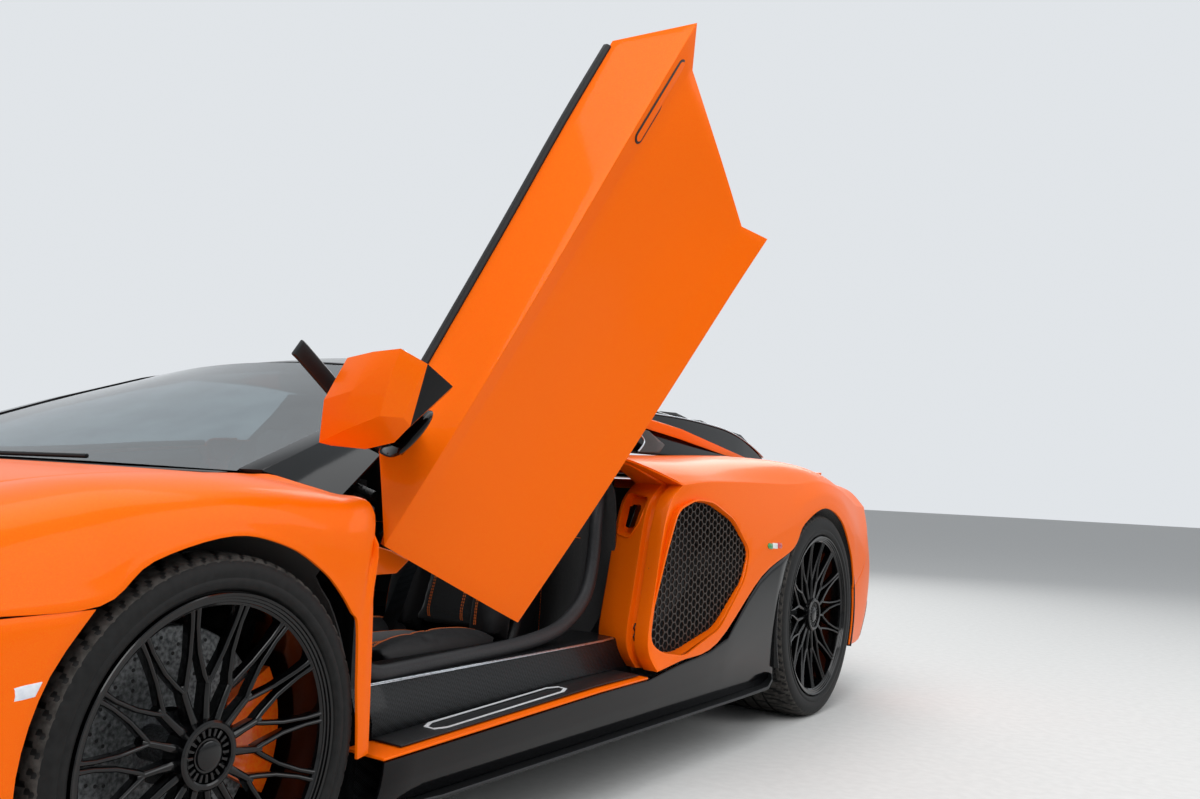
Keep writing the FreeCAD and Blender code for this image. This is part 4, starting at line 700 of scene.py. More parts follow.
def beam(name, sections):
    """A solid bar through closed sections in millimetres, its ends filled."""
    obj = surface(name, [list(section) + [section[0]] for section in sections])
    edited(obj, (bpy.ops.mesh.remove_doubles, {"threshold": 0.00002}), (bpy.ops.mesh.fill_holes, {"sides": 0}),
        (bpy.ops.mesh.normals_make_consistent, {"inside": False}))
    return obj


# A brushed aluminium bead runs along the fold, and a plain frame lies on the tread.
brushed_bead = grained("aluminium_brushed_anodised", 90, "#A9ADB2", "#C9CDD1", (0.22, 0.36), 0.0001,
    stretch=(8, 1, 8), Metallic=1.0)
bead_line = [(-868, 371.5), (-400, 371.5), (60, 371.5), (120, 374)]
bead = beam("sill_bead_left", [[(885.5, y, z), (889, y, z + 2), (884, y, z + 6), (881, y, z + 3)]
    for y, z in bead_line])
both_sides(shaded(bead, brushed_bead, 0.0008), "metal")
frame_corners = [(920, -705), (933, -735), (960, -735), (972, -705), (972, -255), (960, -225), (933, -225),
    (920, -255)]
frame_rows = []
for grow in (0, 6.5):
    frame_rows.append([(x + (grow if x < 946 else -grow), y + (grow if y < -480 else -grow),
        276.4 + (y + 868) * 0.0327 - (x - 935) * 0.05) for x, y in frame_corners + frame_corners[:1]])
tread_frame = surface("sill_frame_left", frame_rows)
welded(tread_frame)
apply_modifier(tread_frame, "SOLIDIFY", thickness=0.0014, offset=0.0)
# Satin silver paint: pale, even, no gloss.
silver_paint = grained("silver_paint_satin", 260, "#D2D5D8", "#E0E2E4", (0.4, 0.5), 0.00005, Specular_IOR_Level=0.3)
both_sides(shaded(tread_frame, silver_paint, 0), "metal")


def tube(name, points, radius, resolution=8):
    """A round cord or seal along a smooth line of points in millimetres."""
    curve = bpy.data.curves.new(name, "CURVE")
    curve.dimensions = "3D"
    spline = curve.splines.new("NURBS")
    spline.points.add(len(points) - 1)
    for place, point in zip(spline.points, points):
        place.co = (*(Vector(point) / 1000), 1)
    spline.order_u, spline.use_endpoint_u = 3, True
    curve.bevel_depth, curve.bevel_resolution = radius / 1000, 4
    curve.resolution_u, curve.use_fill_caps = resolution, True
    obj = linked(bpy.data.objects.new(name, curve))
    only(obj)
    bpy.ops.object.convert(target="MESH")
    welded(obj, 0.00001)
    return obj


# A painted cover stands on the hinge pillar, inside the door's front edge.
cover_edge = [(-958, 720), (-872, 713), (-872, 656), (-818, 643), (-759, 621), (-798, 595), (-865, 595), (-905, 612),
    (-935, 655)]
pillar_cover = outline_solid("hinge_pillar_cover_left", [(892, y, z) for y, z in cover_edge], (-16, 0, 0))
both_sides(shaded(pillar_cover, pearl_orange, 0.004, 30, 3), "paint")

# A fat hollow rubber seal runs round the whole door opening, clipped to the sill.
seal_line = [(846, -872, 640), (858, -872, 520), (866, -868, 410), (862, -820, 386), (856, -720, 386),
    (852, -620, 387),
    (850, -475, 389), (846, -300, 391), (838, -120, 404), (827, -20, 430), (812, 80, 478), (794, 140, 545),
    (779, 175, 620), (768, 195, 690), (752, 235, 755), (735, 262, 815), (716, 280, 850)]
seal = tube("opening_seal_left", seal_line, 19)
seal_rubber = grained("epdm_sponge_seal", 300, "#1B1B1D", "#2B2B2D", (0.45, 0.6), 0.0002, Specular_IOR_Level=0.3)
both_sides(shaded(seal, seal_rubber, 0), "trim")

skirt_line = sill_line + [(280, 312), (460, 326), (520, 338), (600, 356), (830, 520), (r_y - 296, 596)]
skirt_foot = 164
skirt_rows = []
for y, z in skirt_line:
    top = z - 10 - (10 if y < 200 else 0)
    heights = [skirt_foot + (top - skirt_foot) * share for share in (1, 0.75, 0.5, 0.25, 0)]
    along = [r_y - arc_y(rear_opening, rear_hub_z, h) for h in heights] if y > r_y - 300 else [y] * 5
    skirt_rows.append(list(zip((1008, 1006, 1002, 995, 985), along, heights)))
skirt = panel("skirt_skin_left", grid(skirt_rows, 3, 3, sharp_rows=(3, 7), sharp_lines=(2,)), panel_wall, (1, 0, 0))
shaded(skirt, gloss_black)
both_sides(skirt, "black_gloss", "skirt")
blade_rows = []
for y, reach, lift in [(a_y + 430, 990, 0), (a_y + 470, 1000, 0), (a_y + 560, 1015, 0), (-400, 1017, 0),
        (200, 1019, 0), (700, 1021, 0), (r_y - 480, 1022, 4), (r_y - 440, 1018, 22),
        (r_y - 412, 1004, 34), (r_y - 395, 985, 36)]:
    blade_rows.append([(905.3, y, 151), (reach - 12, y, 150.5), (reach, y, 156 + lift), (reach - 2, y, 163 + lift),
        (reach - 12, y, 161 + lift * 0.6), (960, y, 166), (905.3, y, 166)])
blade = shaded(beam("skirt_blade_left", blade_rows), satin_black, 0.0015)
both_sides(blade, "black_satin")


# --- Rear deck, engine cover and wing ---------------------------------------------
# Gloss black shelves beside the engine cover, orange buttresses over them, and
# a black cover with plain slats across it. The wing lies on the tail.

def two_tone(obj, material, picked):
    """A second material on the faces that a test of their middle and normal picks."""
    obj.data.materials.append(material)
    for face in obj.data.polygons:
        face.material_index = int(picked(face.center * 1000, face.normal))


def buttress_or_tail(at, normal):
    return (at.z > 902 and 585 < abs(at.x) and at.y < 1510) or (at.y > 2100 and at.z > 800)


deck = shaded(cad_copy("rear_deck_panels", "rear_deck"), gloss_black, 0.003)
two_tone(deck, pearl_orange, buttress_or_tail)
placed(deck, "black_gloss", "rear_deck")
cover_half, cover_shoulder, cover_side = 470, 458, 120
cover_rows = []
cover_heights = [(445, 1046, 30), (1000, 1046, 30), (1400, 1044, 30), (1860, 1012, 25), (2095, 925, 15)]
for y, z, rise in cover_heights:
    cover_rows.append([(-cover_half, y, z - cover_side), (-cover_shoulder, y, z)]
        + [(cover_half * s, y, z + rise * (1 - s ** 2)) for s in (-0.6, 0, 0.6)]
        + [(cover_shoulder, y, z), (cover_half, y, z - cover_side)])
cover = panel("engine_cover_skin", grid(cover_rows, 5, 4, sharp_rows=(3,), sharp_lines=(1, 5)), panel_wall, (0, 0, 1))
placed(shaded(cover, gloss_black, 0.004, 24, 3), "black_gloss", "engine_cover", body="engine_cover")
# A bright aluminium line along the cover's top edge: a painted highlight of the light on that edge.
painted_cover_highlight = tube("engine_cover_edge_left", [(461, y, z + 1) for y, z, rise in cover_heights], 3)
both_sides(shaded(painted_cover_highlight, brushed_bead, 0), "black_gloss", body="engine_cover")


def cover_top(y):
    """Height of the engine cover's middle line."""
    for (y0, z0, r0), (y1, z1, r1) in zip(cover_heights, cover_heights[1:]):
        if y <= y1:
            return z0 + r0 + (z1 + r1 - z0 - r0) * (y - y0) / (y1 - y0)


# Six slats cross the cover, each a shallow wedge with clipped ends.
slat_count, first_slat_y, slat_pitch = 6, 640, 205
slats = []
for k in range(slat_count):
    y = first_slat_y + slat_pitch * k
    reach = 300 + 12 * k
    sections = []
    for x, rise in ((-reach - 50, 0), (-reach, 1), (-reach * 0.5, 1), (0, 1), (reach * 0.5, 1), (reach, 1),
            (reach + 50, 0)):
        drop = 30 * (x / cover_half) ** 2
        base, back = cover_top(y) - drop, cover_top(y + 150) - drop
        sections.append([(x, y, base - 8), (x, y + 12, base + 8 + 16 * rise), (x, y + 120, back + 4 + 8 * rise),
            (x, y + 150, back - 8)])
    slats.append(beam("slat", sections))
slats = shaded(joined("engine_cover_slats", slats), satin_black, 0.003, 25)
placed(slats, "black_gloss", body="engine_cover")
# A louvred panel closes the cover's tail over the lamps.
louvres = []
for k in range(4):
    z = 812 + 26 * k
    y = 2096 - 9 * k
    louvres.append(beam("louvre", [[(x, y, z), (x, y + 20, z + 3), (x, y + 20, z + 9), (x, y - 4, z + 15)]
        for x in (-440, -220, 0, 220, 440)]))
louvres = shaded(joined("engine_cover_tail_louvres", louvres), satin_black, 0.0015)
placed(louvres, "black_satin")

# Gloss black panels fill the opening under each buttress, with a folded vent in front whose grey is a painted
# highlight.
window_rows = [[(foot - lean_in * s, y, z + rise * s) for s in (0, 0.5, 1)] for foot, lean_in, y, z, rise in
    [(640, 20, 345, 890, 130), (668, 20, 900, 894, 62), (684, 10, 1490, 894, 6)]]
window = surface("buttress_panel_left", window_rows)
apply_modifier(window, "SUBSURF", levels=1, render_levels=1, subdivision_type="SIMPLE")
apply_modifier(window, "SOLIDIFY", thickness=0.004, offset=0.0)
both_sides(shaded(window, gloss_black, 0.0008), "black_gloss")
# Grey lacquer: a half-gloss brown grey, the light on the vent's fold painted in as a painted highlight.
vent_grey_highlight = grained("grey_lacquer_half_gloss", 300, "#2B2624", "#3E3835", (0.3, 0.42), 0.00005,
    Specular_IOR_Level=0.3)
vent = beam("buttress_vent_left", [[(690, 560, 893), (700, 648, 895), (694, 700, 896), (684, 600, 893)],
    [(686, 610, 930), (694, 690, 932), (688, 748, 925), (680, 650, 925)],
    [(680, 560, 968), (684, 640, 966), (680, 660, 958), (674, 590, 962)]])
both_sides(shaded(vent, vent_grey_highlight, 0.002, 20), "black_gloss")
# A bright aluminium line along the vent's edge is a painted highlight.
painted_vent_highlight = tube("buttress_vent_edge_left", [(694, 556, 895), (693, 585, 912), (690, 606, 932), (684, 580, 952),
    (680, 548, 972)], 3)
both_sides(shaded(painted_vent_highlight, brushed_bead, 0), "metal")

wing = shaded(cad_copy("rear_wing_blade", "rear_wing"), pearl_orange, 0.003)
placed(wing, "paint", "rear_wing")


# --- Rear bumper, grille, lamps, diffuser and exhaust --------------------------------
# A moulded bumper with a wide grille, dark lamp units, and a carbon diffuser
# with three steel pipes in the middle.
tail = 2398.5
tip = tail - r_y
tail_rows = from_axle(r_y, [
    [(1002, arc_y(rear_opening, rear_hub_z, z), z) for z in (424, 350, 280, 215)],
    [(990, 510, 484), (985, 530, 400), (980, 530, 300), (970, 510, 205)],
    [(980, 580, 544), (968, 640, 440), (960, 660, 320), (945, 640, 210)],
    [(958, 650, 634), (945, 740, 500), (925, 780, 360), (900, 770, 225)],
    [(921, 711, 728), (900, 830, 560), (880, 870, 400), (840, 860, 240)],
    [(846, 742, 790), (840, 900, 620), (800, 940, 420), (740, 930, 260)],
    [(500, 900, 800), (500, tip - 40, 640), (480, tip - 20, 440), (460, tip - 30, 280)],
    [(0, 935, 806), (0, tip - 16, 640), (0, tip - 3, 440), (0, tip - 11, 290)],
])
tail_fine = grid(whole(tail_rows), 4, 4, sharp_rows=(5, 9))
rear_bumper = panel("rear_bumper_skin", tail_fine, panel_wall, (0, 1, 0))


def tail_cutter(corners):
    return outline_solid("cutter", [(x, r_y + 700, z) for x, z in corners], (0, 400, 0))


pipe_gap = [(-190, 275), (190, 275), (190, 408), (-190, 408)]
cut_away(rear_bumper, [tail_cutter([(-700, 470), (700, 470), (760, 730), (-760, 730)]), tail_cutter(pipe_gap)])
placed(shaded(rear_bumper, pearl_orange), "paint", "rear_bumper")
# A satin black valance covers the bumper's foot, between the wheel arches.
valance = panel("rear_valance", [row[-5:] for row in tail_fine[9:-9]], 0.003, (0, 1, 0), -0.0015)
cut_away(valance, [tail_cutter(pipe_gap)])
placed(shaded(valance, satin_black, 0.0008), "black_satin")
# A deep black surround leads from the bumper's opening in to the grille.
edge_half = [(0, 2392, 470), (480, 2369, 470), (700, 2322, 470), (730, 2285, 600), (760, 2206, 730), (500, 2306, 730),
    (0, 2344, 730)]
edge_loop = edge_half + [(-x, y, z) for x, y, z in edge_half[-2:0:-1]] + edge_half[:1]
grille_y = 2150
surround_rows = []
for share, inset in ((0, 6), (0.5, 6), (1, 0)):
    surround_rows.append([(x, grille_y + (y - grille_y) * share, z + (inset if z < 500 else -inset))
        for x, y, z in edge_loop])
surround = sheet("rear_grille_surround", surround_rows, 0.003)
placed(shaded(surround, moulded_plastic, 0), "black_satin")
# Moulded black walls close the tail behind the grille and round the pipes.
for name, y, half, low, high in (("tail_inner_wall", grille_y, 775, 448, 760),
        ("pipe_surround", 2166, 196, 262, 416)):
    rows = [[(half * s, y + 8 * s * s + 4 * math.cos(9 * s), low + (high - low) * k / 4)
        for s in (-1, -0.6, -0.2, 0.2, 0.6, 1)] for k in range(5)]
    backing = shaded(panel(name, rows, 0.004, (0, 1, 0)), moulded_plastic, 0)
    placed(backing, "black_satin")
tail_mesh_y = r_y + 790
rear_grille = honeycomb("rear_grille_cells", [(-692, 462), (692, 462), (752, 738), (-752, 738)],
    lambda u, v, w: (u, tail_mesh_y + w, v), pitch=30, bar=2.4, depth=6)
placed(rear_grille, "mesh", "rear_grille")
# Red acrylic over lit diodes: a deep clear red.
lens_red = grained("acrylic_lens_red", 300, "#8E0008", "#C0101A", (0.05, 0.12), 0.00005, Transmission_Weight=0.4,
    IOR=1.49, Coat_Weight=0.6, Emission_Color=linear("#C00010"), Emission_Strength=0.25)
tail_lamps = shaded(cad_copy("tail_lamp_units", "tail_lamps"), lens_red, 0.003)
placed(tail_lamps, "tail_lamp", "tail_lamps")
# Three forked light bars stand in each lamp.
fork_edge = [(0, -26), (9, -26), (26, 14), (52, 22), (52, 31), (24, 26), (4, 50), (-6, 50), (14, 16)]
bars = [outline_solid("bar", [(x + u, tail_mesh_y + 61, 650 + v) for u, v in fork_edge], (0, 8, 0))
    for x in (528, 594, 660)]
bars = shaded(joined("tail_lamp_bars_left", bars), lens_red, 0.0015)
both_sides(bars, "tail_lamp")
diffuser = shaded(cad_copy("diffuser_and_fins", "diffuser"), carbon, 0.002)
placed(diffuser, "carbon", "diffuser")
# Steel pipe, heat tinted: warm grey with brown and blue patches.
heated_steel = grained("stainless_steel_heat_tinted", 18, "#6E6258", "#A79C92", (0.18, 0.34), 0.0001, Metallic=1.0)
exhaust = shaded(cad_copy("exhaust_pipes", "exhaust"), heated_steel, 0.002)
placed(exhaust, "metal", "exhaust")
# Cast aluminium: grey with a coarse sand skin.
cast_metal = grained("aluminium_sand_cast", 260, "#4C4E50", "#75787B", (0.5, 0.7), 0.0006, Metallic=0.9)
dress("engine", cast_metal)


# --- Doors -----------------------------------------------------------------------
# A composite door skin with a folded shoulder and a crease low down, on a
# scissor hinge at its front edge. Inside is a trimmed panel with a pull strap.
hinge = Vector((900, -895.5, 755.5)) / 1000
fall, turn = math.radians(17.8), math.radians(5.9)
hinge_axis = Vector((math.cos(turn) * math.cos(fall), math.sin(turn) * math.cos(fall), -math.sin(fall)))
opening_angle = math.radians(68.3)
raise_door = Matrix.Translation(hinge) @ Matrix.Rotation(opening_angle, 4, hinge_axis) @ Matrix.Translation(-hinge)
door_rows = [
    [(897, -805, 812), (984, -967, 729), (984, -966, 690), (985, -960, 520), (990, -955, 380), (990, -951, 291)],
    [(868, -600, 806), (984, -650, 742), (976, -650, 705), (975, -650, 520), (988, -650, 375), (1003, -650, 290)],
    [(858, -300, 825), (982, -330, 760), (968, -330, 715), (968, -330, 520), (990, -330, 372), (1012, -330, 294)],
    [(852, -30, 848), (979, -20, 780), (962, -20, 725), (965, -30, 520), (994, -40, 370), (1020, -50, 300)],
    [(850, 185, 863), (976, 303, 799), (965, 235, 728), (980, 155, 520), (1000, 86, 372), (1029, 105, 305)],
]
# The trim starts inside the skin: each line of the table moves in by its own step.
trim_steps = [(-6, -24), (-26, -22), (-24, -10), (-22, 0), (-22, 0), (-24, 28)]
trim_rows = [[(x + dx, y + dy, z + dz) for (x, y, z), (dx, dz) in zip(row, trim_steps)]
    for row, dy in zip(door_rows, (14, 0, 0, 0, -36))]


def door_pair(obj, slot, *nodes):
    """The closed left door's piece gives the right one, then it is raised."""
    twin = other_side(obj, obj.name[:-len("_left")] + "_right")
    obj.data.transform(raise_door)
    placed(obj, slot, *[node + "_left" for node in nodes], body="door_left")
    placed(twin, slot, *[node + "_right" for node in nodes], body="door_right")


def door_line(rows):
    return grid(rows, 5, 5, sharp_lines=(1, 2, 4))


door_skin = shaded(panel("door_skin_left", door_line(door_rows), 0.018, (1, 0, 0)), pearl_orange, 0.0025, 24, 3)
door_pair(door_skin, "paint", "door")
door_core = shaded(panel("door_trim_left", door_line(trim_rows), 0.045, (1, 0, 0)), satin_black, 0.006, 32, 3)
door_pair(door_core, "trim")

# Rubber seal along the belt line, and the pressed guide of the window at its front end.
rubber = grained("epdm_rubber_extruded", 240, "#121213", "#202021", (0.5, 0.66), 0.0002, Specular_IOR_Level=0.3)
belt_line = [(897, -805, 812), (868, -600, 806), (858, -300, 825), (852, -30, 848), (850, 172, 861)]
belt = beam("belt_seal_left", [[(x - 16, y, z - 12), (x + 3, y, z - 6), (x + 6, y, z + 3), (x - 2, y, z + 8),
    (x - 16, y, z + 5)]
    for x, y, z in (row[0] for row in smoothed([[point] for point in belt_line], 4))])
door_pair(shaded(belt, rubber, 0.002), "trim")
guide = beam("window_guide_left", [[(x - 7, y - 17, z), (x + 7, y - 15, z), (x + 7, y + 15, z), (x, y + 17, z),
    (x - 7, y + 17, z)]
    for x, y, z in [(893, -800, 770), (895, -800, 812), (886, -775, 940), (875, -750, 1060), (874, -748, 1075)]])
door_pair(shaded(guide, satin_black, 0.003), "trim")

# Handle: a flush painted flap in a racetrack slot under the shoulder's rear end.
slot_middle = Vector((970.5, 122, 758))
slot_normal = Vector((0.9537, 0.0264, -0.2996))
slot_along, slot_up = Vector((-0.006, 0.998, 0.05)), Vector((0.3003, -0.0459, 0.952))


def racetrack(length, height, lift):
    """Points of a slot with round ends, lift above the skin."""
    points = []
    for k in range(24):
        angle = math.radians(-90 + 180 * (k % 12) / 11)
        end = 1 if k < 12 else -1
        along = (length - height) / 2 + height / 2 * math.cos(angle)
        point = slot_middle + slot_normal * lift
        point += slot_along * end * along + slot_up * end * height / 2 * math.sin(angle)
        points.append(tuple(point))
    return points


slot_gap = outline_solid("handle_slot_left", racetrack(215, 32, -3), slot_normal * 3.6)
door_pair(shaded(slot_gap, satin_black, 0.0008), "black_satin")
flap = outline_solid("handle_flap_left", racetrack(205, 22, -2), slot_normal * 3.4)
door_pair(shaded(flap, pearl_orange, 0.0018, 30, 3), "paint")

# Inside: an armrest and a pull strap on the moulded trim; its speaker ring is not drawn.
armrest = beam("door_armrest_left", [[(912 + dx, y, z + 30 * s), (882 + dx, y, z + 34 * s), (870 + dx, y, z),
    (884 + dx, y, z - 30 * s), (912 + dx, y, z - 34 * s)]
    for y, z, s, dx in [(-560, 560, 0.5, 8), (-520, 562, 0.9, 2), (-300, 575, 1.1, -6), (-120, 590, 1.0, -4),
        (-60, 596, 0.5, 4)]])
apply_modifier(armrest, "SUBSURF", levels=2, render_levels=2)
door_pair(shaded(armrest, satin_black, 0), "trim")
strap = beam("door_pull_strap_left", [[(x - 2, y, z - 12), (x + 2, y, z - 12), (x + 2, y, z + 12), (x - 2, y, z + 12)]
    for x, y, z in [(907, -300, 640), (893, -285, 650), (885, -220, 655), (885, -120, 660), (893, -60, 662),
        (907, -45, 664)]])
apply_modifier(strap, "SUBSURF", levels=1, render_levels=1)
door_pair(shaded(strap, pearl_orange, 0), "paint")


# --- Door mirrors -----------------------------------------------------------------
# A faceted orange shell on a two-tier black arm that stands on the door's
# front corner. Moulded, with a black frame round the glass.
mirror_model = cad_copy("mirror_model", "mirror_right")
mirror = other_side(mirror_model, "mirror_shell_left")
bpy.data.objects.remove(mirror_model)
shaded(mirror, pearl_orange, 0.005, 28, 3)
# The shell's lower rear part is black, below a slanted line.
line_start, below_line = Vector((1.130, -0.663, 1.000)), Vector((0, 0.394, -0.919))
edited(mirror, (bpy.ops.mesh.bisect, {"plane_co": line_start, "plane_no": below_line}))


def lower_or_rear(at, normal):
    return at.z < 905 or (normal.y > 0.75 and at.x > 960) or (at / 1000 - line_start).dot(below_line) > 0


two_tone(mirror, gloss_black, lower_or_rear)
door_pair(mirror, "paint", "mirror")
glass_rows = [[(980, -716, 1028), (1040, -689, 1036), (1100, -667, 1038)],
    [(978, -712, 975), (1042, -687, 975), (1106, -666, 975)],
    [(980, -708, 925), (1040, -687, 912), (1100, -668, 915)]]
# Silvered glass with a blue cast.
mirror_glass = grained("mirror_glass_silvered", 30, "#9FB0BA", "#B4C2CA", (0.02, 0.05), 0.00001, Metallic=1.0)
glass = panel("mirror_glass_left", [[(x, y + 2.5, z) for x, y, z in row] for row in smoothed(glass_rows, 3)], 0.003,
    (0, 1, 0))
door_pair(shaded(glass, mirror_glass, 0.0005), "glass")
tier = beam("mirror_lower_tier_left", [[(x, y - w, z + 12), (x, y, z + t), (x, y + w, z - 12), (x, y, z - t)]
    for x, y, z, w, t in [(905, -800, 800, 20, 9), (940, -790, 826, 48, 12), (985, -775, 852, 78, 18),
        (1035, -765, 868, 92, 22), (1064, -765, 874, 72, 14)]])
apply_modifier(tier, "SUBSURF", levels=2, render_levels=2)
door_pair(shaded(tier, gloss_black, 0), "black_gloss")


# --- Seats, dashboard and steering wheel -------------------------------------------
# Moulded seat shells with pads in black suede and leather, sewn in orange, a webbing belt, a suede wall behind them,
# a leather dashboard whose stitching is not drawn, and the wheel.
leather = grained("nappa_leather_black", 480, "#0F0F10", "#1E1D1F", (0.42, 0.6), 0.0005, Specular_IOR_Level=0.3,
    Sheen_Weight=0.1)
# Microfibre suede: dark grey, a soft nap and no gloss.
suede = grained("suede_microfibre_brushed", 350, "#161617", "#29292A", (0.8, 0.95), 0.0006, Specular_IOR_Level=0.2,
    Sheen_Weight=0.4, Sheen_Roughness=0.5)
thread_orange = grained("polyester_thread_orange", 2500, "#F06410", "#FF8A30", (0.5, 0.7), 0.0001, Sheen_Weight=0.2)


cloth_frames = 20


def pad(name, origin, length, across, rise, crown=0.22, pinch=0.06, cap=0.014):
    """A crowned closed pad from its middle and three edges in millimetres, swollen as cloth."""
    obj = added(name, bpy.ops.mesh.primitive_cube_add, size=1)
    edited(obj, (bpy.ops.mesh.subdivide, {"number_cuts": 11}))
    for vertex in obj.data.vertices:
        u, v, w = vertex.co
        dome = (1 - 4 * u * u) * (1 - 4 * v * v)
        side_in = 1 - pinch * (1 - 4 * w * w)
        lift = w + (crown * dome if w > 0 else 0) - 0.12 * ((2 * u) ** 6 + (2 * v) ** 6) * (1 if w > 0 else 0)
        flat = Vector(origin) + Vector(length) * u * side_in + Vector(across) * v * side_in
        vertex.co = (flat + Vector(rise) * lift) / 1000
    apply_modifier(obj, "REMESH", mode="VOXEL", voxel_size=0.010)
    start = [vertex.co.copy() for vertex in obj.data.vertices]
    only(obj)
    cloth = obj.modifiers.new("cloth", "CLOTH")
    cloth.settings.use_pressure = True
    cloth.settings.uniform_pressure_force = 4
    cloth.settings.effector_weights.gravity = 0
    cloth.point_cache.frame_end = cloth_frames
    for step in range(1, cloth_frames + 1):
        bpy.context.scene.frame_set(step)
    bpy.ops.object.modifier_apply(modifier=cloth.name)
    bpy.context.scene.frame_set(1)
    for vertex, was in zip(obj.data.vertices, start):
        moved = vertex.co - was
        if moved.length > cap:
            vertex.co = was + moved.normalized() * cap
    apply_modifier(obj, "SUBSURF", levels=1, render_levels=1)
    return obj


def stitches(name, base, lines, pitch=9.0):
    """Short raised stitches along lines of points, each laid on the pad under it."""
    points, faces = [], []
    for line in lines:
        for start, end in zip(line, line[1:]):
            run = Vector(end) - Vector(start)
            for k in range(max(1, int(run.length / pitch))):
                middle = (Vector(start) + run * ((k + 0.5) * pitch / run.length)) / 1000
                hit, spot, normal, _ = base.closest_point_on_mesh(middle)
                along = (run - normal * run.dot(normal)).normalized() * pitch * 0.00036
                across = along.cross(normal).normalized() * 0.0011
                first = len(points)
                for end_way, rise in ((-1, 0.0001), (-0.6, 0.0016), (0.6, 0.0016), (1, 0.0001)):
                    for way in (-1, 1):
                        points.append(spot + along * end_way + across * way + normal * rise)
                for r in range(3):
                    faces.append((first + 2 * r, first + 2 * r + 1, first + 2 * r + 3, first + 2 * r + 2))
                faces.append((first, first + 2, first + 4, first + 6))
                faces.append((first + 1, first + 7, first + 5, first + 3))
                faces.append((first, first + 6, first + 7, first + 1))
    obj = from_points(name, points, [], faces)
    edited(obj, (bpy.ops.mesh.normals_make_consistent, {"inside": False}))
    obj.data.materials.append(thread_orange)
    return obj


shell_side = [(-512, 268), (-482, 178), (118, 178), (292, 856), (248, 922), (192, 892), (62, 372), (20, 312),
    (-480, 296)]
shell = outline_solid("seat_shell_left", [(196, y, z) for y, z in shell_side], (408, 0, 0))
both_sides(shaded(shell, satin_black, 0.022, 20, 4), "trim")
lean, face = Vector((0, 0.332, 0.943)), Vector((0, -0.943, 0.332))


def on_back(x, up, out):
    """A point in front of the backrest, from its foot and up along it."""
    return tuple(Vector((x, 24, 330)) + lean * up + face * out)


def back_pad(name, x, width, low, high, thick, proud, **more):
    """A pad on the backrest, between two distances up its face."""
    middle = Vector((x, 24, 330)) + lean * (low + high) / 2 + face * (proud + thick / 2)
    return pad(name, middle, lean * (high - low), (width, 0, 0), face * thick, **more)


seat_pads = [
    (pad("seat_cushion_left", (400, -252, 318), (0, -470, 8), (238, 0, 0), (0, 0, 52)), suede),
    (pad("seat_bolster_outer_left", (556, -250, 330), (0, -470, 4), (78, 0, 6), (0, 0, 92), crown=0.3), leather),
    (pad("seat_bolster_inner_left", (244, -250, 330), (0, -470, 4), (78, 0, -6), (0, 0, 92), crown=0.3), leather),
    (back_pad("backrest_middle_left", 400, 232, 20, 470, 46, -8), suede),
    (back_pad("backrest_bolster_outer_left", 553, 80, 10, 440, 104, -12, crown=0.3), leather),
    (back_pad("backrest_bolster_inner_left", 247, 80, 10, 440, 104, -12, crown=0.3), leather),
    (back_pad("headrest_left", 400, 214, 478, 588, 52, -10), leather),
]
for piece, material in seat_pads:
    shaded(piece, material, 0)
cushion, bolster, inner_bolster, backrest, back_bolster = (piece for piece, _ in seat_pads[:5])
seams = joined("seat_stitching_left", [
    stitches("s", cushion, [[(x, -480, 360), (x, -250, 365), (x, -30, 362)] for x in (330, 336, 464, 470)]),
    stitches("s", bolster, [[(x, -478, 400), (x, -250, 405), (x, -40, 400)] for x in (540, 548)]),
    stitches("s", inner_bolster, [[(x, -478, 400), (x, -250, 405), (x, -40, 400)] for x in (252, 260)]),
    stitches("s", backrest, [[on_back(x, up, 60) for up in (30, 250, 455)] for x in (338, 344, 456, 462)]),
    stitches("s", back_bolster, [[on_back(x, up, 120) for up in (20, 220, 430)] for x in (536, 544)])])
both_sides(seams, "trim")
piping_line = [on_back(212, up, out) for up, out in ((12, 60), (60, 84), (220, 92), (380, 84), (436, 58))]
piping = tube("seat_piping_left", piping_line, 5)
both_sides(shaded(piping, pearl_orange, 0), "trim")
first_pad = True
for piece, material in seat_pads:
    twin = other_side(piece, piece.name[:-len("_left")] + "_right")
    for half in (piece, twin):
        placed(half, "trim", *(["seats"] if first_pad else []))
        first_pad = False

# Belt webbing: a flat woven strap with a lighter edge, from the tunnel to the shoulder.
# Every other check of the weave is painted lighter: painted sheen on the threads.
webbing = woven("polyester_webbing_woven", 0.004, "#0B0B0C", "#1D1D1F", 0.0005, Specular_IOR_Level=0.2)
belt_rows = []
for x, y, z, roll in [(212, -128, 250, 0.6), (262, -110, 330, 0.4), (300, -96, 420, 0.2), (318, -70, 520, 0.1),
        (345, -20, 640, 0), (380, 60, 770, 0), (420, 150, 868, 0), (448, 236, 935, 0)]:
    belt_rows.append([(x + dx * math.cos(roll), y + dx * math.sin(roll) * 0.6 - lift, z + lift * 0.3)
        for dx, lift in ((-24, 0), (-22, 1.4), (0, 0.6), (22, 1.4), (24, 0))])
belt = sheet("seat_belt_left", grid(belt_rows, 5, 2), 0.0014)

both_sides(shaded(belt, webbing, 0), "trim")

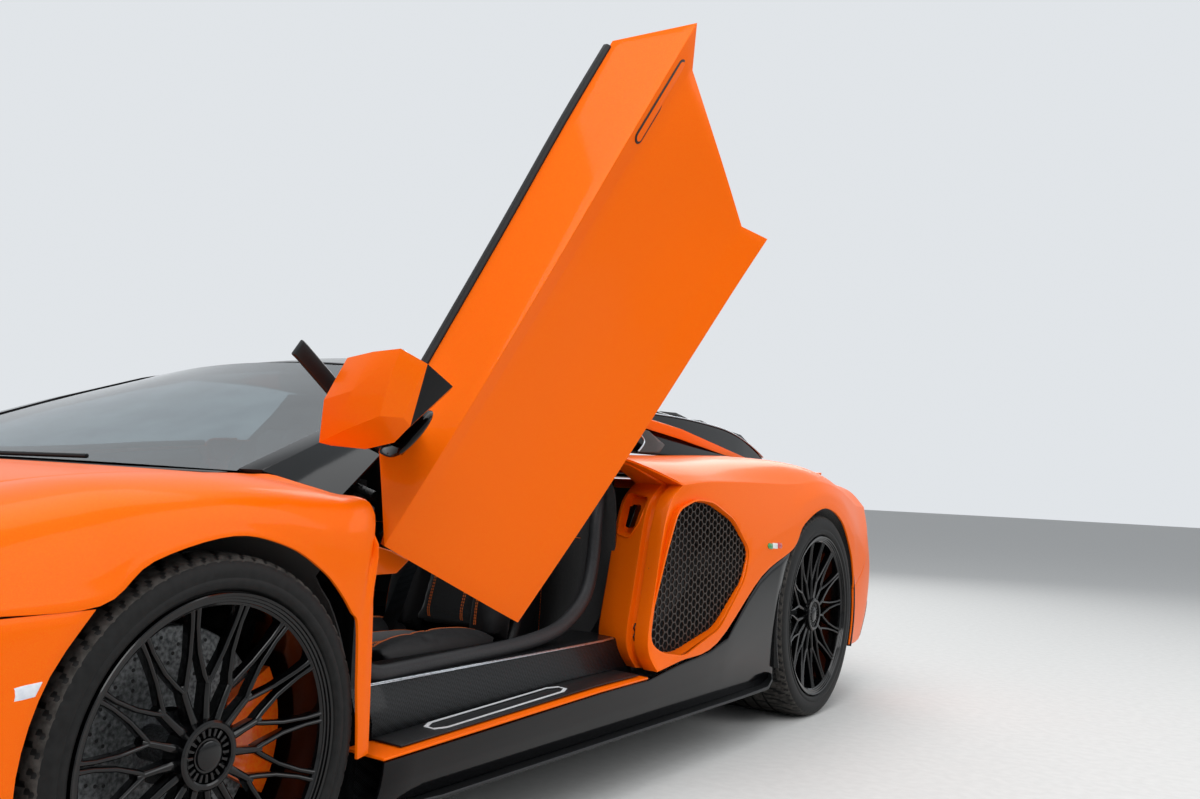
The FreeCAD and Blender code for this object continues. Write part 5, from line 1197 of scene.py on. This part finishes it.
# The wall behind the seats closes the cabin to the tub's bulkhead and the pillars.
wall_y, straight = 322, 0.72
wall_rows = []
for z, half in [(300, 690), (420, 770), (520, 804), (640, 804), (740, 800), (800, 780), (862, 720), (960, 600),
        (1040, 520)]:
    wall_rows.append([(half * s, wall_y - 70 * max(0, abs(s) - straight) / 0.28 - 8 * math.cos(s * math.pi * 2), z)
        for s in (-1, -0.86, -straight, -0.4, 0, 0.4, straight, 0.86, 1)])
cabin_wall = shaded(panel("cabin_rear_wall", grid(wall_rows, 3, 3), 0.004, (0, -1, 0)), suede, 0)
placed(cabin_wall, "trim")
seam_lines = [[(-700, 300, z), (0, 300, z), (700, 300, z)] for z in (628, 880)]
seam_lines += [[(x, 300, 320), (x, 300, 870)] for x in (-505, 505)]
wall_seams = stitches("cabin_wall_stitching", cabin_wall, seam_lines)
placed(wall_seams, "trim")
carpet_line = [(152, 300), (154, 178), (170, 169), (400, 168), (620, 169), (636, 178), (638, 300)]
carpet = sheet("cabin_carpet_left", [[(x, y, z) for x, z in carpet_line] for y in (-860, -600, -530)], 0.004)
both_sides(shaded(carpet, felt, 0.001), "trim")

dash = shaded(cad_copy("dashboard_top", "dashboard"), leather, 0.012, 20, 4)
placed(dash, "trim", "dashboard")

wheel = shaded(cad_copy("steering_wheel_rim", "steering_wheel"), leather, 0.003)
placed(wheel, "trim", "steering_wheel", body="steering_wheel")


# --- Wheels and tyres ----------------------------------------------------------------
# Forged aluminium rims in gloss black with fifteen forked spokes and a centre
# lock, drilled discs, orange brake calipers and low road tyres.

def lathe(name, profile, face_x, axle_y, hub_z, steps):
    """A profile given as depth from the wheel face and radius, spun round the axle."""
    count = len(profile)
    middle = (face_x / 1000, axle_y / 1000, hub_z / 1000)
    points = [((face_x - depth) / 1000, axle_y / 1000, (hub_z + radius) / 1000) for depth, radius in profile]
    obj = from_points(name, points, [(i, (i + 1) % count) for i in range(count)], [])
    edited(obj, (bpy.ops.mesh.spin, {"steps": steps, "angle": math.radians(360), "center": middle,
        "axis": (1, 0, 0)}),
        (bpy.ops.mesh.select_all, {"action": "SELECT"}), (bpy.ops.mesh.remove_doubles, {"threshold": 0.00005}),
        (bpy.ops.mesh.normals_make_consistent, {"inside": False}))
    return obj


def ring_of(obj, count, axle_y, hub_z):
    """A piece and its copies set round the axle, joined into one."""
    centre = Matrix.Translation(Vector((0, axle_y, hub_z)) / 1000)
    copies = [obj]
    for k in range(1, count):
        copy = linked(obj.copy())
        copy.data = obj.data.copy()
        copy.data.transform(centre @ Matrix.Rotation(math.radians(360 * k / count), 4, "X") @ centre.inverted())
        copies.append(copy)
    return joined(obj.name, copies)


# Vulcanised rubber: the side wall is smooth and dark, the tread scuffed and greyer.
tyre_rubber = grained("tyre_rubber_side_wall", 60, "#0E0E0E", "#191919", (0.5, 0.66), 0.0002, Specular_IOR_Level=0.2)
tread_rubber = grained("tyre_rubber_worn_tread", 70, "#2E2C2A", "#4A4744", (0.7, 0.9), 0.0005,
    Specular_IOR_Level=0.15)
# Black lacquer over forged aluminium: black, with thin bright lines at its edges.
rim_black = grained("forged_aluminium_black_lacquer", 200, "#030304", "#070708", (0.1, 0.18), 0.00003,
    Specular_IOR_Level=0.3, Coat_Weight=0.12, Coat_Roughness=0.02)
# Carbon ceramic: mid grey with short pale and dark fibres.
ceramic = grained("carbon_ceramic_disc_ground", 130, "#4A4D4F", "#8C8F90", (0.3, 0.5), 0.0002, detail=10.0,
    Metallic=0.4, Specular_IOR_Level=0.4)
caliper_orange = grained("caliper_enamel_orange", 160, "#FF5A00", "#FF7406", (0.25, 0.38), 0.0001,
    Specular_IOR_Level=0.3, Coat_Weight=0.5, Coat_Roughness=0.06)

grooves, groove_steps = 38, 12  # slanted grooves round the tyre, and points from one to the next
groove_depth, shoulder_depth, nick_depth = 0.005, 0.002, 0.0025
spoke_count, lock_teeth, hole_rows = 15, 20, 24
for axle, face_x, axle_y, hub_z, outer, width, seat, disc_r in (("front", 985, a_y, front_hub_z, 330, 255, 254, 200),
        ("rear", 1010, r_y, rear_hub_z, 355, 355, 267, 190)):
    body = "wheel_%s_SIDE" % axle
    flange = seat + 13

    # Tyre: the shoulder and tread are cut by slanted grooves, with short nicks between.
    half = [(14.3, seat + 0.3), (14.3, flange + 1), (7, flange + 4), (3, flange + 8), (2.4, flange + 9.5),
        (1.2, flange + 10.5), (0.3, flange + 16), (0.2, flange + 22), (1.0, flange + 23), (1.0, flange + 25),
        (0.4, flange + 26), (1.6, outer - 24), (4, outer - 16), (6.5, outer - 11.5), (9, outer - 8),
        (14, outer - 4.5), (22, outer - 2), (34, outer - 0.8), (48, outer - 0.3), (62, outer)]
    middle = []
    for share in (0.3, 0.435, 0.565, 0.7):
        middle += [(width * share + step, outer - drop) for step, drop in ((-5, 0), (-3.5, 6), (3.5, 6), (5, 0))]
    profile = half + middle + [(width - depth, radius) for depth, radius in half[::-1]]
    tyre = lathe("tyre_%s_skin_left" % axle, profile, face_x, axle_y, hub_z, steps=grooves * groove_steps)
    centre = Vector((0, axle_y, hub_z)) / 1000
    for vertex in tyre.data.vertices:
        out = Vector((0, vertex.co.y, vertex.co.z)) - centre
        depth = face_x - vertex.co.x * 1000
        radius = out.length * 1000
        inner = min(depth, width - depth)
        if radius < outer - 14 or inner < 3:
            continue
        turns = math.atan2(out.z, out.y) / (2 * math.pi) * grooves + inner / 95 + (0.5 if depth > width / 2 else 0)
        step = round((turns % 1) * groove_steps) % groove_steps
        if step == 0 and inner < width * 0.42:
            vertex.co -= out.normalized() * (groove_depth if inner > 26 else shoulder_depth)
        elif step == groove_steps // 2 and 5 < inner < 24:
            vertex.co -= out.normalized() * nick_depth
    shaded(tyre, tyre_rubber, 0, 50)
    tyre.data.materials.append(tread_rubber)
    for face in tyre.data.polygons:
        out = Vector((0, face.center.y, face.center.z)) - centre
        radii = [Vector((0, tyre.data.vertices[i].co.y, tyre.data.vertices[i].co.z)) - centre for i in face.vertices]
        cut = max(r.length for r in radii) - min(r.length for r in radii) > 0.004 and out.length * 1000 > outer - 9
        face.material_index = int(out.length * 1000 > outer - 13.5 and not cut)
    both_sides(tyre, "tyre", "tyre_" + axle, body=body)

    # Rim: barrel and lip in one turned profile, then the spokes, centre ring and cap.
    barrel_profile = [(2, flange - 1.5), (3.5, flange), (13.8, flange), (14, seat), (width - 14, seat),
        (width - 13.8, flange), (width - 3.5, flange), (width - 2, flange - 2), (width - 2, seat - 5),
        (width - 12, seat - 7), (60, seat - 10), (26, seat - 10), (16, seat - 8.5), (12.5, seat - 4),
        (10.5, seat - 3.2), (10, seat + 1), (7, seat + 2), (6.4, seat + 6), (3.2, seat + 7)]
    barrel = lathe("rim_%s_left" % axle, barrel_profile, face_x, axle_y, hub_z, steps=144)
    reach, fork = seat - 7, (seat - 7) * 0.5
    lean = math.radians(10.3)

    def bar(name, stations):
        """A spoke's run: each station is its side step, radius, half width, face depth and back depth."""
        sections = []
        for u, r, w, near, far in stations:
            sections.append([(face_x - d, axle_y + u + v, hub_z + r) for v, d in
                ((-w * 0.7, far), (-w, near + 9), (-w, near + 3.2), (-w * 0.3, near), (w * 0.3, near),
                    (w, near + 3.2), (w, near + 9), (w * 0.7, far))])
        return beam(name, sections)

    stem = bar("stem", [(0, 40, 8.2, 30, 66), (0, 62, 7.2, 32, 64), (0, 90, 6.4, 33, 62), (0, fork - 6, 6.2, 33, 60),
        (0, fork + 5, 5, 34, 56)])
    tips = []
    for hand in (-1, 1):
        tip_u, tip_r = hand * reach * math.sin(lean), reach * math.cos(lean)
        line = []
        for s, w, near, far in ((0, 5.2, 33, 58), (0.12, 5.4, 32, 56), (0.4, 4.8, 28, 50), (0.75, 4.5, 20, 44),
                (0.94, 4.8, 14.5, 40), (1, 6.5, 13.5, 40)):
            bow = 7 * hand * math.sin(math.pi * s)
            line.append((hand * 1.5 + tip_u * s + bow, fork - 8 + (tip_r + 3 - fork + 8) * s, w, near, far))
        tips.append(bar("branch", line))
    spoke = joined("spokes", [stem] + tips)
    apply_modifier(spoke, "BEVEL", width=0.0009, segments=1, limit_method="ANGLE", angle_limit=math.radians(25))
    spokes = ring_of(spoke, spoke_count, axle_y, hub_z)
    lock_profile = [(21, 0.2), (21, 21), (22, 23.5), (25, 25), (25, 28), (33, 29.5), (33, 43), (21, 45), (19, 48),
        (19, 53.5), (22, 57), (36, 60), (64, 60), (64, 0.2)]
    centre_lock = lathe("centre_lock", lock_profile, face_x, axle_y, hub_z, steps=72)
    tooth_edge = [(-2.2, 30.5), (2.2, 30.5), (3.2, 44), (-3.2, 44)]
    tooth = outline_solid("tooth", [(face_x - 34, axle_y + u, hub_z + v) for u, v in tooth_edge], (10, 0, 0))
    apply_modifier(tooth, "BEVEL", width=0.0008, segments=1, limit_method="NONE")
    rim = joined("rim_%s_face_left" % axle, [barrel, spokes, centre_lock, ring_of(tooth, lock_teeth, axle_y, hub_z)])
    both_sides(shaded(rim, rim_black, 0, 28), "rim", "rim_" + axle, body=body)

    # Brake disc: a ring with a dull bell inside it, and curved rows of drilled holes drawn as thin black discs on its
    # face: painted shade in the holes.
    disc_profile = [(131, 64), (131, 112), (130, 114), (130, disc_r - 2), (131.5, disc_r), (145, disc_r),
        (145, disc_r - 12), (151, disc_r - 12), (151, disc_r), (164.5, disc_r), (166, disc_r - 2),
        (166, 114), (140, 112), (140, 64)]
    disc = lathe("disc_%s_left" % axle, disc_profile, face_x, axle_y, hub_z, steps=96)
    both_sides(shaded(disc, ceramic, 0), "iron", body=body)
    # The holes are black discs laid on the face: painted shade, not openings.
    holes, hole_r = [], 3.4
    for k, r in enumerate((124, 138, 153, 168, 183)):
        if r > disc_r - 12:
            continue
        swing = math.radians(9 + 3.4 * k)
        u, v = r * math.sin(swing), r * math.cos(swing)
        corners = [math.radians(45 * m) for m in range(8)]
        edge = [(face_x - 130.2, axle_y + u + hole_r * math.cos(a), hub_z + v + hole_r * math.sin(a))
            for a in corners]
        holes.append(outline_solid("hole", edge, (0.7, 0, 0)))
    painted_hole_shade = ring_of(joined("disc_%s_holes_left" % axle, holes), hole_rows, axle_y, hub_z)
    both_sides(shaded(painted_hole_shade, felt, 0), "iron", body=body)

# Calipers in orange enamel on carriers of cast aluminium, one casting each side.
for node, body, axle_y, hub_z, name in (("knuckle_left", "knuckle_left", a_y, front_hub_z, "front_caliper_left"),
        ("knuckle_right", "knuckle_right", a_y, front_hub_z, "front_caliper_right"),
        ("rear_uprights", "chassis", r_y, rear_hub_z, "rear_calipers")):
    caliper = shaded(cad_copy(name, node), cast_metal, 0.005, 28, 3)
    two_tone(caliper, caliper_orange, lambda at, normal: math.hypot(at.y - axle_y, at.z - hub_z) > 116
        and at.y > axle_y + 90 and abs(at.x) > 740)
    placed(caliper, "iron", node, body=body)


# --- Studio ---------------------------------------------------------------------------
# A plain pale floor, soft lamps, and the camera at the photograph's place.
floor = added("studio_floor", bpy.ops.mesh.primitive_circle_add, vertices=96, radius=40, fill_type="NGON",
    location=(0, 0, 0))
floor.data.materials.append(grained("plaster_floor_pale", 30, "#D8D8D6", "#DEDEDC", (0.7, 0.8), 0.0001))

for name, place, size, power, aim in [
        ("key", (3.5, -5.0, 5.5), 4.0, 235, (0.3, 0, 0.6)), ("fill", (6.0, 2.5, 3.5), 4.0, 115, (0, 0.3, 0.6)),
        ("top", (0, 0, 7), 6.0, 215, (0, 0.01, 0)), ("back", (-2.0, 6.5, 4.0), 4.0, 130, (0, 0, 0.6))]:
    lamp = bpy.data.lights.new(name, "AREA")
    lamp.shape, lamp.size, lamp.energy = "SQUARE", size, power
    holder = linked(bpy.data.objects.new(name, lamp))
    holder.location = place
    holder.rotation_euler = (Vector(aim) - Vector(place)).to_track_quat("-Z", "Y").to_euler()

world = bpy.data.worlds.new("studio")
world.use_nodes = True
bpy.context.scene.world = world
tree = world.node_tree
tree.nodes.clear()
path = add_node(tree, "ShaderNodeLightPath")
seen = add_node(tree, "ShaderNodeMath", links={0: path.outputs["Is Camera Ray"], 1: path.outputs["Is Glossy Ray"]},
    operation="MAXIMUM")
seen = add_node(tree, "ShaderNodeMath", links={0: seen.outputs[0], 1: path.outputs["Is Transmission Ray"]},
    operation="MAXIMUM")
ambient = add_node(tree, "ShaderNodeBackground", {"Color": linear("#E9EEF4"), "Strength": 0.42})
backdrop = add_node(tree, "ShaderNodeBackground", {"Color": linear("#E6EAEE"), "Strength": 0.95})
mix = add_node(tree, "ShaderNodeMixShader", links={0: seen.outputs[0], 1: ambient.outputs[0], 2: backdrop.outputs[0]})
add_node(tree, "ShaderNodeOutputWorld", links={"Surface": mix.outputs[0]})

lens_data = bpy.data.cameras.new("photo_view")
lens_data.lens, lens_data.sensor_width, lens_data.sensor_fit = 35.51, 36.0, "HORIZONTAL"
camera = linked(bpy.data.objects.new("photo_view", lens_data))
right, up, back = (0.857856, 0.511714, 0.047241), (-0.008285, -0.078145, 0.996908), (0.513823, -0.855595, -0.062798)
spot = (2.499495, -2.697327, 0.819226)
camera.matrix_world = Matrix([(right[i], up[i], back[i], spot[i]) for i in range(3)] + [(0, 0, 0, 1)])
bpy.context.scene.camera = camera
bpy.context.scene.view_settings.view_transform = "Standard"
